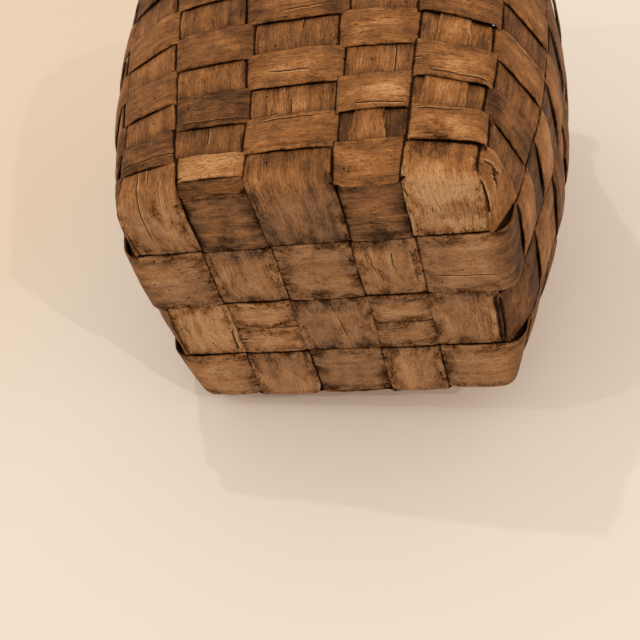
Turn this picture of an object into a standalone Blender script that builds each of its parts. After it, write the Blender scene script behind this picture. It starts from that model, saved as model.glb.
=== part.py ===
"""Pack basket woven from ash splint, with lashed rim hoops and a bentwood handle.

Metres, +Z up, the front (belly) towards -Y and the flat back, the wearer's side,
towards +Y. The origin lies at floor level under the middle of the woven base.

Nine wide splints cross on the base, five running front to back (columns) and four
running left to right (rows). Both ends of each one turn up the wall, which makes
eighteen uprights. Sixteen rings of weaver pass in and out of the uprights.
All strips lie on one lattice of flat facets, one for each crossing, and pass each
other on its outer and its inner side with a small clearance.
"""

import math
from dataclasses import dataclass
from functools import lru_cache

import bmesh
import bpy
import numpy as np
from mathutils import Vector

# Clearance between pieces that touch
CLEARANCE = 0.0003

# Base and wall
BASE_WIDTH = 0.262
BASE_DEPTH = 0.220
WEAVE_HEIGHT = 0.396
WALL_FOOT = 0.0045
BELLY_HALF_WIDTH = 0.180
BELLY_DEPTH = 0.207
BACK_DEPTH = 0.116

# Splints
STAVE_THICKNESS = 0.0015
WEAVER_THICKNESS = 0.0012
BASE_GAP = 0.0026
RIM_GAP = 0.0064
UPRIGHT_END_WIDTH = 0.0420
ROW_GAP = 0.0020
CORNER_GAP = 0.0090
LAP_MARGIN = 0.003
SPLIT_GAP = 0.0010
DOUBLER_PLAY = 0.0005

# Narrow starter strip under the first weaver, and how high that weaver climbs over it
STARTER_RISE = 0.0095
STARTER_LEAST = 0.0010

# Rim
HOOP_THICKNESS = 0.0070
HOOP_HEIGHT = 0.0190
HOOP_LIFT = 0.0034
HOOP_PLAY = 0.0008
STAVE_END_DROP = 0.0020
HOOP_STATIONS = 54
HOOP_SMOOTH_ANGLE = math.radians(50)

# Handle
HANDLE_TAIL = 0.0340
HANDLE_RISE = 0.0600
HANDLE_LEG_WIDTH = 0.0180
HANDLE_LEG_DEPTH = 0.0070
HANDLE_GRIP_WIDTH = 0.0150
HANDLE_GRIP_DEPTH = 0.0140
HANDLE_CHAMFER = 0.0025
HANDLE_STATIONS = 18
HANDLE_SMOOTH_ANGLE = math.radians(60)

# How much deeper the chamfer is at the middle of the grip, and the most it may take there
HANDLE_GRIP_CUT_SHARE = 1.7
HANDLE_CUT_LIMIT_SHARE = 0.6

# Copper rivets
RIVET_RADIUS = 0.0020
RIVET_HEAD_RADIUS = 0.0046
RIVET_HEAD_HEIGHT = 0.0018
BURR_RADIUS = 0.0040
BURR_THICKNESS = 0.0012
RIVET_SIDES = 14
RIVET_SMOOTH_ANGLE = math.radians(50)

# Lashing, narrowed where it passes between two uprights
LASHING_WIDTH = 0.0065
LASHING_WAIST = 0.0046
LASHING_THICKNESS = 0.0009
LASHING_PLAY = 0.0010
LASHING_RAMP = 0.0080
LASHING_BIND_DROP = 0.0018
LASHING_STEPS = 2

# Share of an upright's room at which the lashing crosses the rim beside a handle leg
LEG_CROSSING_SHARE = 0.10

# Shares of the base width and depth that each splint takes, from -X and from -Y
COLUMN_SHARES = (0.192, 0.202, 0.232, 0.176, 0.198)
ROW_SHARES = (0.232, 0.260, 0.276, 0.232)

# Relative room that each upright takes at the wall, counter-clockwise from above:
# front left to right, right side front to back, back right to left, left side back to front
UPRIGHT_SHARES = (
    0.86, 1.00, 1.17, 0.89, 0.89,
    0.91, 1.00, 1.14, 0.93,
    1.02, 1.00, 1.20, 0.98, 0.97,
    0.95, 1.12, 1.02, 0.95,
)
FIRST_UPRIGHT_SHARE = -0.134

# Relative height of each weaver row, from the bottom
ROW_HEIGHT_SHARES = (
    0.98, 0.94, 0.95, 0.98, 1.00, 1.04, 1.06, 1.04,
    1.00, 1.02, 0.97, 1.01, 0.98, 1.02, 1.00, 0.99,
)
ROW_COUNT = len(ROW_HEIGHT_SHARES)

# Wall profile: share of the weave height, of the half width, of the front reach and of
# the back reach, then the squareness of the front and of the back half of the ring
PROFILE_SHARES = (
    (0.00, 0.776, 0.560, 0.990, 8.0, 8.0),
    (0.06, 0.824, 0.604, 0.994, 6.0, 6.5),
    (0.12, 0.868, 0.653, 0.998, 4.6, 5.4),
    (0.24, 0.944, 0.755, 1.000, 3.5, 4.6),
    (0.37, 0.989, 0.872, 1.000, 2.9, 4.1),
    (0.48, 1.000, 0.965, 1.000, 2.6, 3.8),
    (0.59, 0.988, 1.000, 1.000, 2.6, 3.8),
    (0.70, 0.944, 0.955, 0.996, 2.7, 3.8),
    (0.81, 0.872, 0.825, 0.990, 2.8, 3.9),
    (0.92, 0.812, 0.680, 0.984, 2.9, 4.0),
    (1.00, 0.805, 0.645, 0.990, 3.0, 4.0),
)
SETTLED_SHARE = 0.18

# Share of the weave height from which the uprights are trimmed narrower
TRIM_START_SHARE = 0.78

# Share of its rise that the first weaver has at the edges of the first three uprights
STARTER_RISE_SHARES = ((0.0, 0.75), (0.90, 1.00), (0.90, 0.0))

# Share of the width of the outer uprights at which the starter strip ends
STARTER_END_SHARE = 0.45

# Share of a row's height by which a doubling strip stops short of the row's far edge
DOUBLER_TUCK_SHARE = 0.15

# The row splint that has split along its middle, counted from the front
SPLIT_ROW = 2
SPLIT_SHARE = 0.5

# The upright behind which the first weaver's ends lap, and the step to the next row's lap
FIRST_LAP = 10
LAP_STEP = 3

# Points round a level outline, and how far apart the two that give its direction lie
RING_SAMPLES = 1441
NORMAL_SHARE = 0.004


@dataclass(frozen=True)
class Ring:
    """A level outline of the wall, from the front middle towards +X."""

    xs: np.ndarray
    ys: np.ndarray
    lengths: np.ndarray

    @property
    def length(self):
        """Return the length all round."""
        return float(self.lengths[-1])

    def point(self, share):
        """Return the point at a share of the length."""
        run = (share % 1.0) * self.length
        return (
            float(np.interp(run, self.lengths, self.xs)),
            float(np.interp(run, self.lengths, self.ys)),
        )

    def nearest_share(self, x, y):
        """Return the share of the length that lies nearest to a point."""
        shares = np.linspace(0.0, 1.0, RING_SAMPLES)
        px = np.interp(shares * self.length, self.lengths, self.xs)
        py = np.interp(shares * self.length, self.lengths, self.ys)
        return float(shares[np.argmin((px - x) ** 2 + (py - y) ** 2)])

    def normal(self, share):
        """Return the level direction that points out of the wall."""
        x0, y0 = self.point(share - NORMAL_SHARE)
        x1, y1 = self.point(share + NORMAL_SHARE)
        return Vector((y1 - y0, x0 - x1, 0.0)).normalized()


@dataclass(frozen=True)
class Station:
    """One cross-section of a strip: its two edges and the way out of the basket."""

    first: Vector
    second: Vector
    out: Vector
    offset: float


def smooth_curve(at, places, values):
    """Return the value at a place on a smooth curve through hand-chosen points."""
    slopes = np.gradient(values, places)
    index = int(np.clip(np.searchsorted(places, at) - 1, 0, len(places) - 2))
    span = places[index + 1] - places[index]
    t = (at - places[index]) / span
    return (
        (2 * t**3 - 3 * t**2 + 1) * values[index]
        + (t**3 - 2 * t**2 + t) * span * slopes[index]
        + (3 * t**2 - 2 * t**3) * values[index + 1]
        + (t**3 - t**2) * span * slopes[index + 1]
    )


@lru_cache(maxsize=None)
def ring_at(height):
    """Return the wall's outline at a height."""
    share = (height - WALL_FOOT) / (WEAVE_HEIGHT - WALL_FOOT)
    table = np.array(PROFILE_SHARES)
    width, front, back, front_square, back_square = (
        smooth_curve(min(share, 1.0), table[:, 0], table[:, column]) for column in range(1, 6)
    )
    half_width = width * BELLY_HALF_WIDTH
    reach = front * BELLY_DEPTH
    half_depth = (reach + back * BACK_DEPTH) / 2
    middle = half_depth - reach
    angles = np.linspace(0.0, 2 * math.pi, RING_SAMPLES)
    across, along = np.sin(angles), np.cos(angles)
    power = np.where(along > 0, 2 / front_square, 2 / back_square)
    xs = half_width * np.sign(across) * np.abs(across) ** power
    ys = middle - half_depth * np.sign(along) * np.abs(along) ** power
    steps = np.hypot(np.diff(xs), np.diff(ys))
    return Ring(xs, ys, np.concatenate([[0.0], np.cumsum(steps)]))


def running_sum(shares, start, size):
    """Return the boundaries of a row of parts that share a size."""
    total = sum(shares)
    return [start + size * sum(shares[:count]) / total for count in range(len(shares) + 1)]


COLUMN_EDGES = running_sum(COLUMN_SHARES, -BASE_WIDTH / 2, BASE_WIDTH)
ROW_EDGES = running_sum(ROW_SHARES, -BASE_DEPTH / 2, BASE_DEPTH)
COLUMNS = len(COLUMN_SHARES)
ROWS = len(ROW_SHARES)
UPRIGHTS = 2 * (COLUMNS + ROWS)
WALL_SHARES = running_sum(UPRIGHT_SHARES, FIRST_UPRIGHT_SHARE, 1.0)
LEVELS = running_sum(ROW_HEIGHT_SHARES, WALL_FOOT, WEAVE_HEIGHT - WALL_FOOT)

# Distances between the middles of strips that pass each other
SIDE_SPACING = (STAVE_THICKNESS + WEAVER_THICKNESS) / 2 + CLEARANCE
BASE_SPACING = STAVE_THICKNESS + CLEARANCE
BASE_LEVEL = (BASE_SPACING + STAVE_THICKNESS) / 2
WEAVER_LAYER = WEAVER_THICKNESS + CLEARANCE

HOOP_BOTTOM = WEAVE_HEIGHT + HOOP_LIFT
HOOP_TOP = HOOP_BOTTOM + HOOP_HEIGHT


def base_corner_points():
    """Return the base's outline points where the uprights meet, counter-clockwise."""
    left, right = COLUMN_EDGES[0], COLUMN_EDGES[-1]
    front, back = ROW_EDGES[0], ROW_EDGES[-1]
    points = [(x, front) for x in COLUMN_EDGES[:-1]]
    points += [(right, y) for y in ROW_EDGES[:-1]]
    points += [(x, back) for x in reversed(COLUMN_EDGES[1:])]
    points += [(left, y) for y in reversed(ROW_EDGES[1:])]
    return points


@lru_cache(maxsize=None)
def foot_shares():
    """Return the shares of the ring at which the uprights leave the base."""
    foot = ring_at(WALL_FOOT)
    shares = [foot.nearest_share(x, y) for x, y in base_corner_points()]
    shares = [
        share - 1.0 if index < COLUMNS and share > 0.5 else share
        for index, share in enumerate(shares)
    ]
    return shares + [shares[0] + 1.0]


def boundary(slot, height):
    """Return the share of the ring at which an upright's room starts."""
    settle = min(1.0, (height - WALL_FOOT) / (SETTLED_SHARE * WEAVE_HEIGHT))
    blend = settle * settle * (3 - 2 * settle)
    return foot_shares()[slot] * (1 - blend) + WALL_SHARES[slot] * blend


def stave_of(slot):
    """Return the kind and number of the splint that an upright belongs to."""
    if slot < COLUMNS:
        return "column", slot
    if slot < COLUMNS + ROWS:
        return "row", slot - COLUMNS
    if slot < 2 * COLUMNS + ROWS:
        return "column", 2 * COLUMNS + ROWS - 1 - slot
    return "row", UPRIGHTS - 1 - slot


def stave_width(slot):
    """Return the width of the splint that an upright belongs to."""
    kind, number = stave_of(slot)
    edges = COLUMN_EDGES if kind == "column" else ROW_EDGES
    return edges[number + 1] - edges[number] - BASE_GAP


def trimmed_width(slot, height):
    """Return an upright's width, trimmed towards its end at the rim."""
    width = stave_width(slot)
    trim_start = TRIM_START_SHARE * WEAVE_HEIGHT
    trim = min(max((height - trim_start) / (WEAVE_HEIGHT - trim_start), 0.0), 1.0)
    return width - max(width - UPRIGHT_END_WIDTH, 0.0) * trim


def gap_at(slot, height):
    """Return the least gap between an upright and the one before it."""
    corners = (0, COLUMNS, COLUMNS + ROWS, 2 * COLUMNS + ROWS)
    foot_gap = CORNER_GAP if slot % UPRIGHTS in corners else BASE_GAP
    rise = min(1.0, height / WEAVE_HEIGHT)
    return foot_gap + (max(RIM_GAP, foot_gap) - foot_gap) * rise


def wall_point(slot, share_across, height):
    """Return a point on the wall, at a share of an upright's width and at a height."""
    ring = ring_at(height)
    start, end = boundary(slot, height), boundary(slot + 1, height)
    margin, end_margin = gap_at(slot, height) / 2, gap_at(slot + 1, height) / 2
    room = (end - start) * ring.length - margin - end_margin
    width = min(trimmed_width(slot, height), room)
    run = margin + (room - width) / 2 + width * share_across
    x, y = ring.point(start + run / ring.length)
    return Vector((x, y, height))


@dataclass(frozen=True)
class Facet:
    """One crossing: its corners, counter-clockwise from outside."""

    low_a: Vector
    low_b: Vector
    high_b: Vector
    high_a: Vector

    @property
    def out(self):
        """Return the facet's outward direction."""
        across = self.low_b - self.low_a + self.high_b - self.high_a
        upward = self.high_a - self.low_a + self.high_b - self.low_b
        return across.cross(upward).normalized()

    def at(self, share_across, share_up):
        """Return a point of the facet, which folds from low_a to high_b."""
        if share_across >= share_up:
            across, upward = self.low_b - self.low_a, self.high_b - self.low_b
        else:
            across, upward = self.high_b - self.high_a, self.high_a - self.low_a
        return self.low_a + across * share_across + upward * share_up

    def height_at(self, share_across):
        """Return the facet's height up the wall at a share of its width."""
        return (self.at(share_across, 1.0) - self.at(share_across, 0.0)).length

    def width_at(self, share_up):
        """Return the facet's width at a share of its height."""
        return (self.at(1.0, share_up) - self.at(0.0, share_up)).length


@lru_cache(maxsize=None)
def facet(slot, row):
    """Return the facet of an upright and a weaver row, or of its end between the hoops."""
    if row > ROW_COUNT:
        low, high = HOOP_BOTTOM, HOOP_TOP - STAVE_END_DROP
    else:
        low, high = LEVELS[row - 1] + ROW_GAP / 2, LEVELS[row] - ROW_GAP / 2
    return Facet(
        wall_point(slot, 0.0, low),
        wall_point(slot, 1.0, low),
        wall_point(slot, 1.0, high),
        wall_point(slot, 0.0, high),
    )


def weaver_is_outside(slot, row):
    """Return whether a weaver row passes outside an upright."""
    return (slot + row) % 2 == 0


def stave_offset(slot, row):
    """Return how far an upright's middle lies outside the facet."""
    if row > ROW_COUNT:
        return 0.0
    return -SIDE_SPACING / 2 if weaver_is_outside(slot, row) else SIDE_SPACING / 2


def add_material(item, name, colour, roughness, metallic=0.0):
    """Give an object a plain Principled material."""
    material = bpy.data.materials.get(name) or bpy.data.materials.new(name)
    material.use_nodes = True
    shader = material.node_tree.nodes["Principled BSDF"]
    shader.inputs["Base Color"].default_value = (*colour, 1.0)
    shader.inputs["Roughness"].default_value = roughness
    shader.inputs["Metallic"].default_value = metallic
    item.data.materials.append(material)


def ash_splint(item):
    """Give an object the brown of old ash splint."""
    add_material(item, "aged_ash_splint", (0.180, 0.080, 0.028), 0.62)


def ash_wood(item):
    """Give an object the brown of bent, handled ash."""
    add_material(item, "aged_ash_wood", (0.150, 0.062, 0.022), 0.50)


def copper(item):
    """Give an object the colour of dull copper."""
    add_material(item, "dull_copper", (0.380, 0.150, 0.075), 0.42, 1.0)


def mesh_object(name, shape):
    """Make an object from a bmesh with its faces pointing out."""
    bmesh.ops.recalc_face_normals(shape, faces=shape.faces)
    mesh = bpy.data.meshes.new(name)
    shape.to_mesh(mesh)
    shape.free()
    item = bpy.data.objects.new(name, mesh)
    bpy.context.scene.collection.objects.link(item)
    return item


def bridge_loops(shape, loops, closed):
    """Join loops of vertices with faces, and cap the ends of an open run."""
    rings = [[shape.verts.new(place) for place in loop] for loop in loops]
    following = rings[1:] + rings[:1] if closed else rings[1:]
    for here, there in zip(rings, following):
        for index in range(len(here)):
            after = (index + 1) % len(here)
            shape.faces.new((here[index], here[after], there[after], there[index]))
    if not closed:
        shape.faces.new(rings[0])
        shape.faces.new(rings[-1])


def smooth_rounds(item, angle):
    """Shade an object smooth except at edges sharper than an angle."""
    item.data.shade_smooth()
    item.data.set_sharp_from_angle(angle=angle)


def strip(name, stations, thickness, rising_diagonal=True):
    """Make a flat strip through its stations.

    The facets of crossing strips are cut along the same diagonal, so that two
    strips that lie on one facet stay parallel where the facet is slightly twisted.
    """
    shape = bmesh.new()
    loops = []
    for station in stations:
        inner = station.out * (station.offset - thickness / 2)
        outer = station.out * (station.offset + thickness / 2)
        places = (
            station.first + inner,
            station.second + inner,
            station.second + outer,
            station.first + outer,
        )
        loops.append([shape.verts.new(place) for place in places])
    for here, there in zip(loops, loops[1:]):
        for first, second in ((0, 1), (3, 2)):
            if rising_diagonal:
                shape.faces.new((here[first], here[second], there[second]))
                shape.faces.new((here[first], there[second], there[first]))
            else:
                shape.faces.new((here[first], here[second], there[first]))
                shape.faces.new((here[second], there[second], there[first]))
        shape.faces.new((here[1], here[2], there[2], there[1]))
        shape.faces.new((here[0], here[3], there[3], there[0]))
    shape.faces.new(loops[0])
    shape.faces.new(loops[-1])
    return mesh_object(name, shape)


def upright_stations(slot, from_share, to_share):
    """Return the stations of one upright from the base to the rim."""
    stations = []
    for row in range(1, ROW_COUNT + 2):
        face = facet(slot, row)
        for share_up in (0.0, 1.0):
            first = face.at(from_share, share_up)
            second = face.at(to_share, share_up)
            stations.append(Station(first, second, face.out, stave_offset(slot, row)))
    return stations


def swapped(stations):
    """Return stations with their two edges swapped."""
    return [Station(item.second, item.first, item.out, item.offset) for item in stations]


def base_stations(kind, number, from_share, to_share):
    """Return the stations of a splint across the base, in the direction it runs."""
    own_edges = COLUMN_EDGES if kind == "column" else ROW_EDGES
    crossed_edges = ROW_EDGES if kind == "column" else COLUMN_EDGES
    near, far = own_edges[number] + BASE_GAP / 2, own_edges[number + 1] - BASE_GAP / 2
    first_side = near + (far - near) * from_share
    second_side = near + (far - near) * to_share
    down = Vector((0.0, 0.0, -1.0))
    stations = []
    for crossed in range(len(crossed_edges) - 1):
        column_is_outside = (number + crossed) % 2 == 0
        is_outside = column_is_outside == (kind == "column")
        offset = BASE_SPACING / 2 if is_outside else -BASE_SPACING / 2
        for along in (crossed_edges[crossed] + BASE_GAP / 2,
                      crossed_edges[crossed + 1] - BASE_GAP / 2):
            if kind == "column":
                first = Vector((first_side, along, BASE_LEVEL))
                second = Vector((second_side, along, BASE_LEVEL))
            else:
                first = Vector((along, first_side, BASE_LEVEL))
                second = Vector((along, second_side, BASE_LEVEL))
            stations.append(Station(first, second, down, offset))
    return stations


def stave(name, kind, number, from_share=0.0, to_share=1.0):
    """Make one wide splint: an upright, its part of the base and the other upright.

    The shares say which part of the width it takes, from -X on a column and from
    the front on a row.
    """
    base = base_stations(kind, number, from_share, to_share)
    if kind == "column":
        near, far = number, 2 * COLUMNS + ROWS - 1 - number
        start = upright_stations(near, from_share, to_share)
        end = swapped(upright_stations(far, 1.0 - to_share, 1.0 - from_share))
    else:
        near, far = UPRIGHTS - 1 - number, COLUMNS + number
        start = swapped(upright_stations(near, 1.0 - to_share, 1.0 - from_share))
        end = upright_stations(far, from_share, to_share)
    stations = start[::-1] + base + end
    return strip(name, stations, STAVE_THICKNESS, rising_diagonal=kind == "row")


def doubler_lift(slot, row):
    """Return how much further out a weaver lies where it also covers a doubling strip."""
    for doubler in DOUBLERS:
        if slot % UPRIGHTS == doubler.slot and doubler.first_row <= row <= doubler.last_row:
            return WEAVER_THICKNESS + 2 * DOUBLER_PLAY - CLEARANCE
    return 0.0


@dataclass(frozen=True)
class Doubler:
    """A tapered strip slipped in over an upright, and the rows that it spans."""

    name: str
    slot: int
    first_row: int
    last_row: int
    low_shares: tuple
    high_shares: tuple


DOUBLERS = (
    Doubler("repair_splint_short", 3, 1, 3, (0.06, 0.84), (0.16, 0.76)),
    Doubler("repair_splint_long", 4, 2, 6, (0.10, 0.82), (0.24, 0.66)),
)


def make_doubler(doubler):
    """Make a tapered strip from the middle of its first row to that of its last."""
    stations = []
    lift = (STAVE_THICKNESS + WEAVER_THICKNESS) / 2 + DOUBLER_PLAY
    rows = doubler.last_row - doubler.first_row
    for row in range(doubler.first_row, doubler.last_row + 1):
        face = facet(doubler.slot, row)
        low_up = DOUBLER_TUCK_SHARE if row == doubler.first_row else 0.0
        high_up = 1.0 - DOUBLER_TUCK_SHARE if row == doubler.last_row else 1.0
        for share_up in (low_up, high_up):
            climb = (row - doubler.first_row + share_up) / (rows + 1)
            sides = [
                low + (high - low) * climb
                for low, high in zip(doubler.low_shares, doubler.high_shares)
            ]
            first, second = face.at(sides[0], share_up), face.at(sides[1], share_up)
            offset = stave_offset(doubler.slot, row) + lift
            stations.append(Station(first, second, face.out, offset))
    return strip(doubler.name, stations, WEAVER_THICKNESS)


def starter_climb(slot, share_across):
    """Return the share of the first facet's height that the starter strip takes up."""
    if slot >= len(STARTER_RISE_SHARES):
        return 0.0
    near, far = STARTER_RISE_SHARES[slot]
    rise = STARTER_RISE * (near + (far - near) * share_across)
    return rise / facet(slot, 1).height_at(share_across)


def weaver(row):
    """Make one ring of weaver, its two ends lapped behind one upright."""
    lap_slot = FIRST_LAP + LAP_STEP * (row - 1)
    stations = []
    for count in range(UPRIGHTS + 1):
        slot = (lap_slot + count) % UPRIGHTS
        face = facet(slot, row)
        margin_share = LAP_MARGIN / face.width_at(0.5)
        near = margin_share if count == 0 else 0.0
        far = 1.0 - margin_share if count == UPRIGHTS else 1.0
        if weaver_is_outside(slot, row):
            offset = SIDE_SPACING / 2 + doubler_lift(slot, row)
        elif count == UPRIGHTS:
            offset = -SIDE_SPACING / 2 - WEAVER_LAYER
        else:
            offset = -SIDE_SPACING / 2
        for share_across in (near, far):
            foot_share = starter_climb(slot, share_across) if row == 1 else 0.0
            low, high = face.at(share_across, foot_share), face.at(share_across, 1.0)
            stations.append(Station(low, high, face.out, offset))
    return strip(f"weaver_{row:02d}", stations, WEAVER_THICKNESS)


def starter():
    """Make the narrow strip that fills in under the first weaver."""
    stations = []
    last = len(STARTER_RISE_SHARES) - 1
    for slot in range(last + 1):
        face = facet(slot, 1)
        near = STARTER_END_SHARE if slot == 0 else 0.0
        far = 1.0 - STARTER_END_SHARE if slot == last else 1.0
        side = 1 if weaver_is_outside(slot, 1) else -1
        for share_across in (near, far):
            height = face.height_at(share_across)
            room = starter_climb(slot, share_across) * height - ROW_GAP
            top_share = max(room, STARTER_LEAST) / height
            low, high = face.at(share_across, 0.0), face.at(share_across, top_share)
            stations.append(Station(low, high, face.out, side * SIDE_SPACING / 2))
    return strip("starter_weaver", stations, WEAVER_THICKNESS)


def chord_depth():
    """Return how far the flat ends of the uprights lie inside the rim's curve."""
    depths = []
    for slot in range(UPRIGHTS):
        ends = wall_point(slot, 0.0, HOOP_BOTTOM) + wall_point(slot, 1.0, HOOP_BOTTOM)
        depths.append((wall_point(slot, 0.5, HOOP_BOTTOM) - ends / 2).length)
    return max(depths)


OUTER_HOOP_FACE = STAVE_THICKNESS / 2 + HOOP_PLAY
OUTER_REACH = OUTER_HOOP_FACE + HOOP_THICKNESS
INNER_HOOP_FACE = -STAVE_THICKNESS / 2 - chord_depth() - CLEARANCE
INNER_REACH = INNER_HOOP_FACE - HOOP_THICKNESS


def rim_place(share, outward, height):
    """Return a point at a distance outside the rim's curve."""
    rim = ring_at(WEAVE_HEIGHT)
    x, y = rim.point(share)
    place = Vector((x, y, 0.0)) + rim.normal(share) * outward
    place.z = height
    return place


def hoop(name, face, reach):
    """Make a hoop with a flat side towards the uprights and a rounded one away."""
    # Share of the thickness and of the height, round the half-round section
    outline_shares = ((0, 0), (0.62, 0), (1, 0.24), (1, 0.76), (0.62, 1), (0, 1))
    loops = [
        [
            rim_place(
                station / HOOP_STATIONS,
                face + (reach - face) * out_share,
                HOOP_BOTTOM + HOOP_HEIGHT * up_share,
            )
            for out_share, up_share in outline_shares
        ]
        for station in range(HOOP_STATIONS)
    ]
    shape = bmesh.new()
    bridge_loops(shape, loops, closed=True)
    item = mesh_object(name, shape)
    smooth_rounds(item, HOOP_SMOOTH_ANGLE)
    return item


def lashing():
    """Make the lashing: one splint wound round both hoops, a turn for each upright.

    A turn comes out under the hoops through the gap between two uprights, slants up
    over the outer hoop, crosses the rim and slants down inside to the next gap. Where
    a handle leg stands, it crosses beside the leg and then binds it.
    """
    stand_off = LASHING_PLAY + LASHING_THICKNESS / 2
    outside, inside = OUTER_REACH + stand_off, INNER_REACH - stand_off
    below, above = HOOP_BOTTOM - stand_off, HOOP_TOP + stand_off
    up = Vector((0.0, 0.0, 1.0))
    rim = ring_at(WEAVE_HEIGHT)
    points = []

    def add(share, outward, height, out_part, up_part=0):
        """Add a place on the way round, with its corner mitred by two parts."""
        out = rim.normal(share)
        direction = out * out_part + up * up_part
        place = rim_place(share, outward, height)
        width = LASHING_WAIST if up_part < 0 else LASHING_WIDTH
        points.append((place, direction, up_part != 0, share, width))

    def climb(start, end, outward, low, high, out_part):
        """Add the places between two edges of the rim on one of its faces."""
        for step in range(1, LASHING_STEPS):
            part = step / LASHING_STEPS
            add(start + (end - start) * part, outward, low + (high - low) * part, out_part)

    def bind_leg(middle):
        """Add the places where the lashing runs over a handle leg."""
        side = 1 if middle > rim_share_of_back() else -1
        leg_face = rim_depth(-side * HALF_SPAN, INNER_REACH) - HANDLE_FACE + HANDLE_LEG_DEPTH
        height = HOOP_TOP - LASHING_BIND_DROP
        foot = (HANDLE_LEG_WIDTH / 2 + LASHING_RAMP) / rim.length
        shoulder = (HANDLE_LEG_WIDTH - HANDLE_CHAMFER / 2) / 2 / rim.length
        add(middle - foot, inside, height, -1)
        add(middle - shoulder, inside - leg_face, height, -1)
        add(middle + shoulder, inside - leg_face, height, -1)
        add(middle + foot, inside, height, -1)

    for slot in range(UPRIGHTS):
        start = boundary(slot, WEAVE_HEIGHT)
        end = boundary(slot + 1, WEAVE_HEIGHT)
        has_leg = slot in handle_slots()
        cross = start + (end - start) * (LEG_CROSSING_SHARE if has_leg else 0.5)
        add(start, outside, below, 1, -1)
        climb(start, cross, outside, below, above, 1)
        add(cross, outside, above, 1, 1)
        add(cross, inside, above, -1, 1)
        if has_leg:
            bind_leg((start + end) / 2)
        else:
            climb(cross, end, inside, above, below, -1)
        add(end, inside, below, -1, -1)
    return strip("rim_lashing", ribbon_stations(points, rim), LASHING_THICKNESS)


def ribbon_stations(points, rim):
    """Return a ribbon's stations, its width square to the way it runs.

    Where the ribbon turns over an edge of the rim, its width lies along that edge.
    """
    stations = []
    side = Vector((0.0, 0.0, 0.0))
    for index, (place, direction, is_edge, share, width) in enumerate(points):
        before, after = points[max(index - 1, 0)][0], points[min(index + 1, len(points) - 1)][0]
        out = rim.normal(share)
        along_rim = Vector((-out.y, out.x, 0.0))
        across = along_rim if is_edge else direction.cross(after - before).normalized()
        side = -across if across.dot(side) < 0 else across
        half = side * width / 2
        stations.append(Station(place - half, place + half, direction, 0.0))
    return stations


def rim_share_of_back():
    """Return the share of the rim at the middle of the back."""
    return ring_at(WEAVE_HEIGHT).nearest_share(0.0, BACK_DEPTH)


def handle_slots():
    """Return the two back uprights that the handle's legs stand at."""
    middle = COLUMNS + ROWS + COLUMNS // 2
    return middle - 1, middle + 1


def handle_half_span():
    """Return half the distance between the handle's legs."""
    right, left = (wall_point(slot, 0.5, WEAVE_HEIGHT).x for slot in handle_slots())
    return (right - left) / 2


def rim_depth(x, outward):
    """Return the back rim's place along Y at a distance outside its curve."""
    share = ring_at(WEAVE_HEIGHT).nearest_share(x, BACK_DEPTH)
    return rim_place(share, outward, WEAVE_HEIGHT).y


HALF_SPAN = handle_half_span()
HANDLE_FACE = rim_depth(HALF_SPAN + HANDLE_LEG_WIDTH / 2, INNER_REACH) - CLEARANCE
HANDLE_MIDDLE = HANDLE_FACE - HANDLE_LEG_DEPTH / 2
RIVET_HEIGHT = HOOP_BOTTOM + HOOP_HEIGHT / 2
RIVET_OUTSIDE = rim_depth(HALF_SPAN - RIVET_HEAD_RADIUS, OUTER_REACH) + CLEARANCE
RIVET_INSIDE = HANDLE_FACE - HANDLE_LEG_DEPTH - CLEARANCE


def handle():
    """Make the carved handle: flat legs inside the rim and a rounded grip above it."""
    top = HOOP_TOP + HANDLE_LEG_WIDTH / 2
    leg_heights = (HOOP_BOTTOM - HANDLE_TAIL, HOOP_BOTTOM, HOOP_TOP)
    path = [(-HALF_SPAN, height, 0.0, 0.0) for height in leg_heights]
    for station in range(HANDLE_STATIONS + 1):
        turn = math.pi * station / HANDLE_STATIONS
        x = -HALF_SPAN * math.cos(turn)
        z = top + HANDLE_RISE * math.sin(turn)
        lean = math.atan2(HALF_SPAN * math.sin(turn), HANDLE_RISE * math.cos(turn))
        path.append((x, z, lean, math.sin(turn)))
    path += [(HALF_SPAN, height, math.pi, 0.0) for height in reversed(leg_heights)]
    loops = []
    for x, z, lean, grip in path:
        side = Vector((-math.cos(lean), 0.0, math.sin(lean)))
        half_width = (HANDLE_LEG_WIDTH + (HANDLE_GRIP_WIDTH - HANDLE_LEG_WIDTH) * grip) / 2
        half_depth = (HANDLE_LEG_DEPTH + (HANDLE_GRIP_DEPTH - HANDLE_LEG_DEPTH) * grip) / 2
        cut = HANDLE_CHAMFER * (1 + grip * (HANDLE_GRIP_CUT_SHARE - 1))
        cut_depth = min(cut, half_depth * HANDLE_CUT_LIMIT_SHARE)
        corner = (
            (half_width, half_depth - cut_depth), (half_width - cut, half_depth),
            (cut - half_width, half_depth), (-half_width, half_depth - cut_depth),
            (-half_width, cut_depth - half_depth), (cut - half_width, -half_depth),
            (half_width - cut, -half_depth), (half_width, cut_depth - half_depth),
        )
        middle = Vector((x, HANDLE_MIDDLE, z))
        loops.append([middle + side * a + Vector((0.0, b, 0.0)) for a, b in corner])
    shape = bmesh.new()
    bridge_loops(shape, loops, closed=False)
    item = mesh_object("carry_handle", shape)
    smooth_rounds(item, HANDLE_SMOOTH_ANGLE)
    return item


def turned_along_y(name, outline, x, z):
    """Turn an outline of places along Y and radii round an axis parallel to Y."""
    shape = bmesh.new()
    loops = []
    for y, radius in outline:
        loops.append([
            Vector((
                x + radius * math.cos(2 * math.pi * side / RIVET_SIDES),
                y,
                z + radius * math.sin(2 * math.pi * side / RIVET_SIDES),
            ))
            for side in range(RIVET_SIDES)
        ])
    bridge_loops(shape, loops, closed=False)
    return mesh_object(name, shape)


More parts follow.
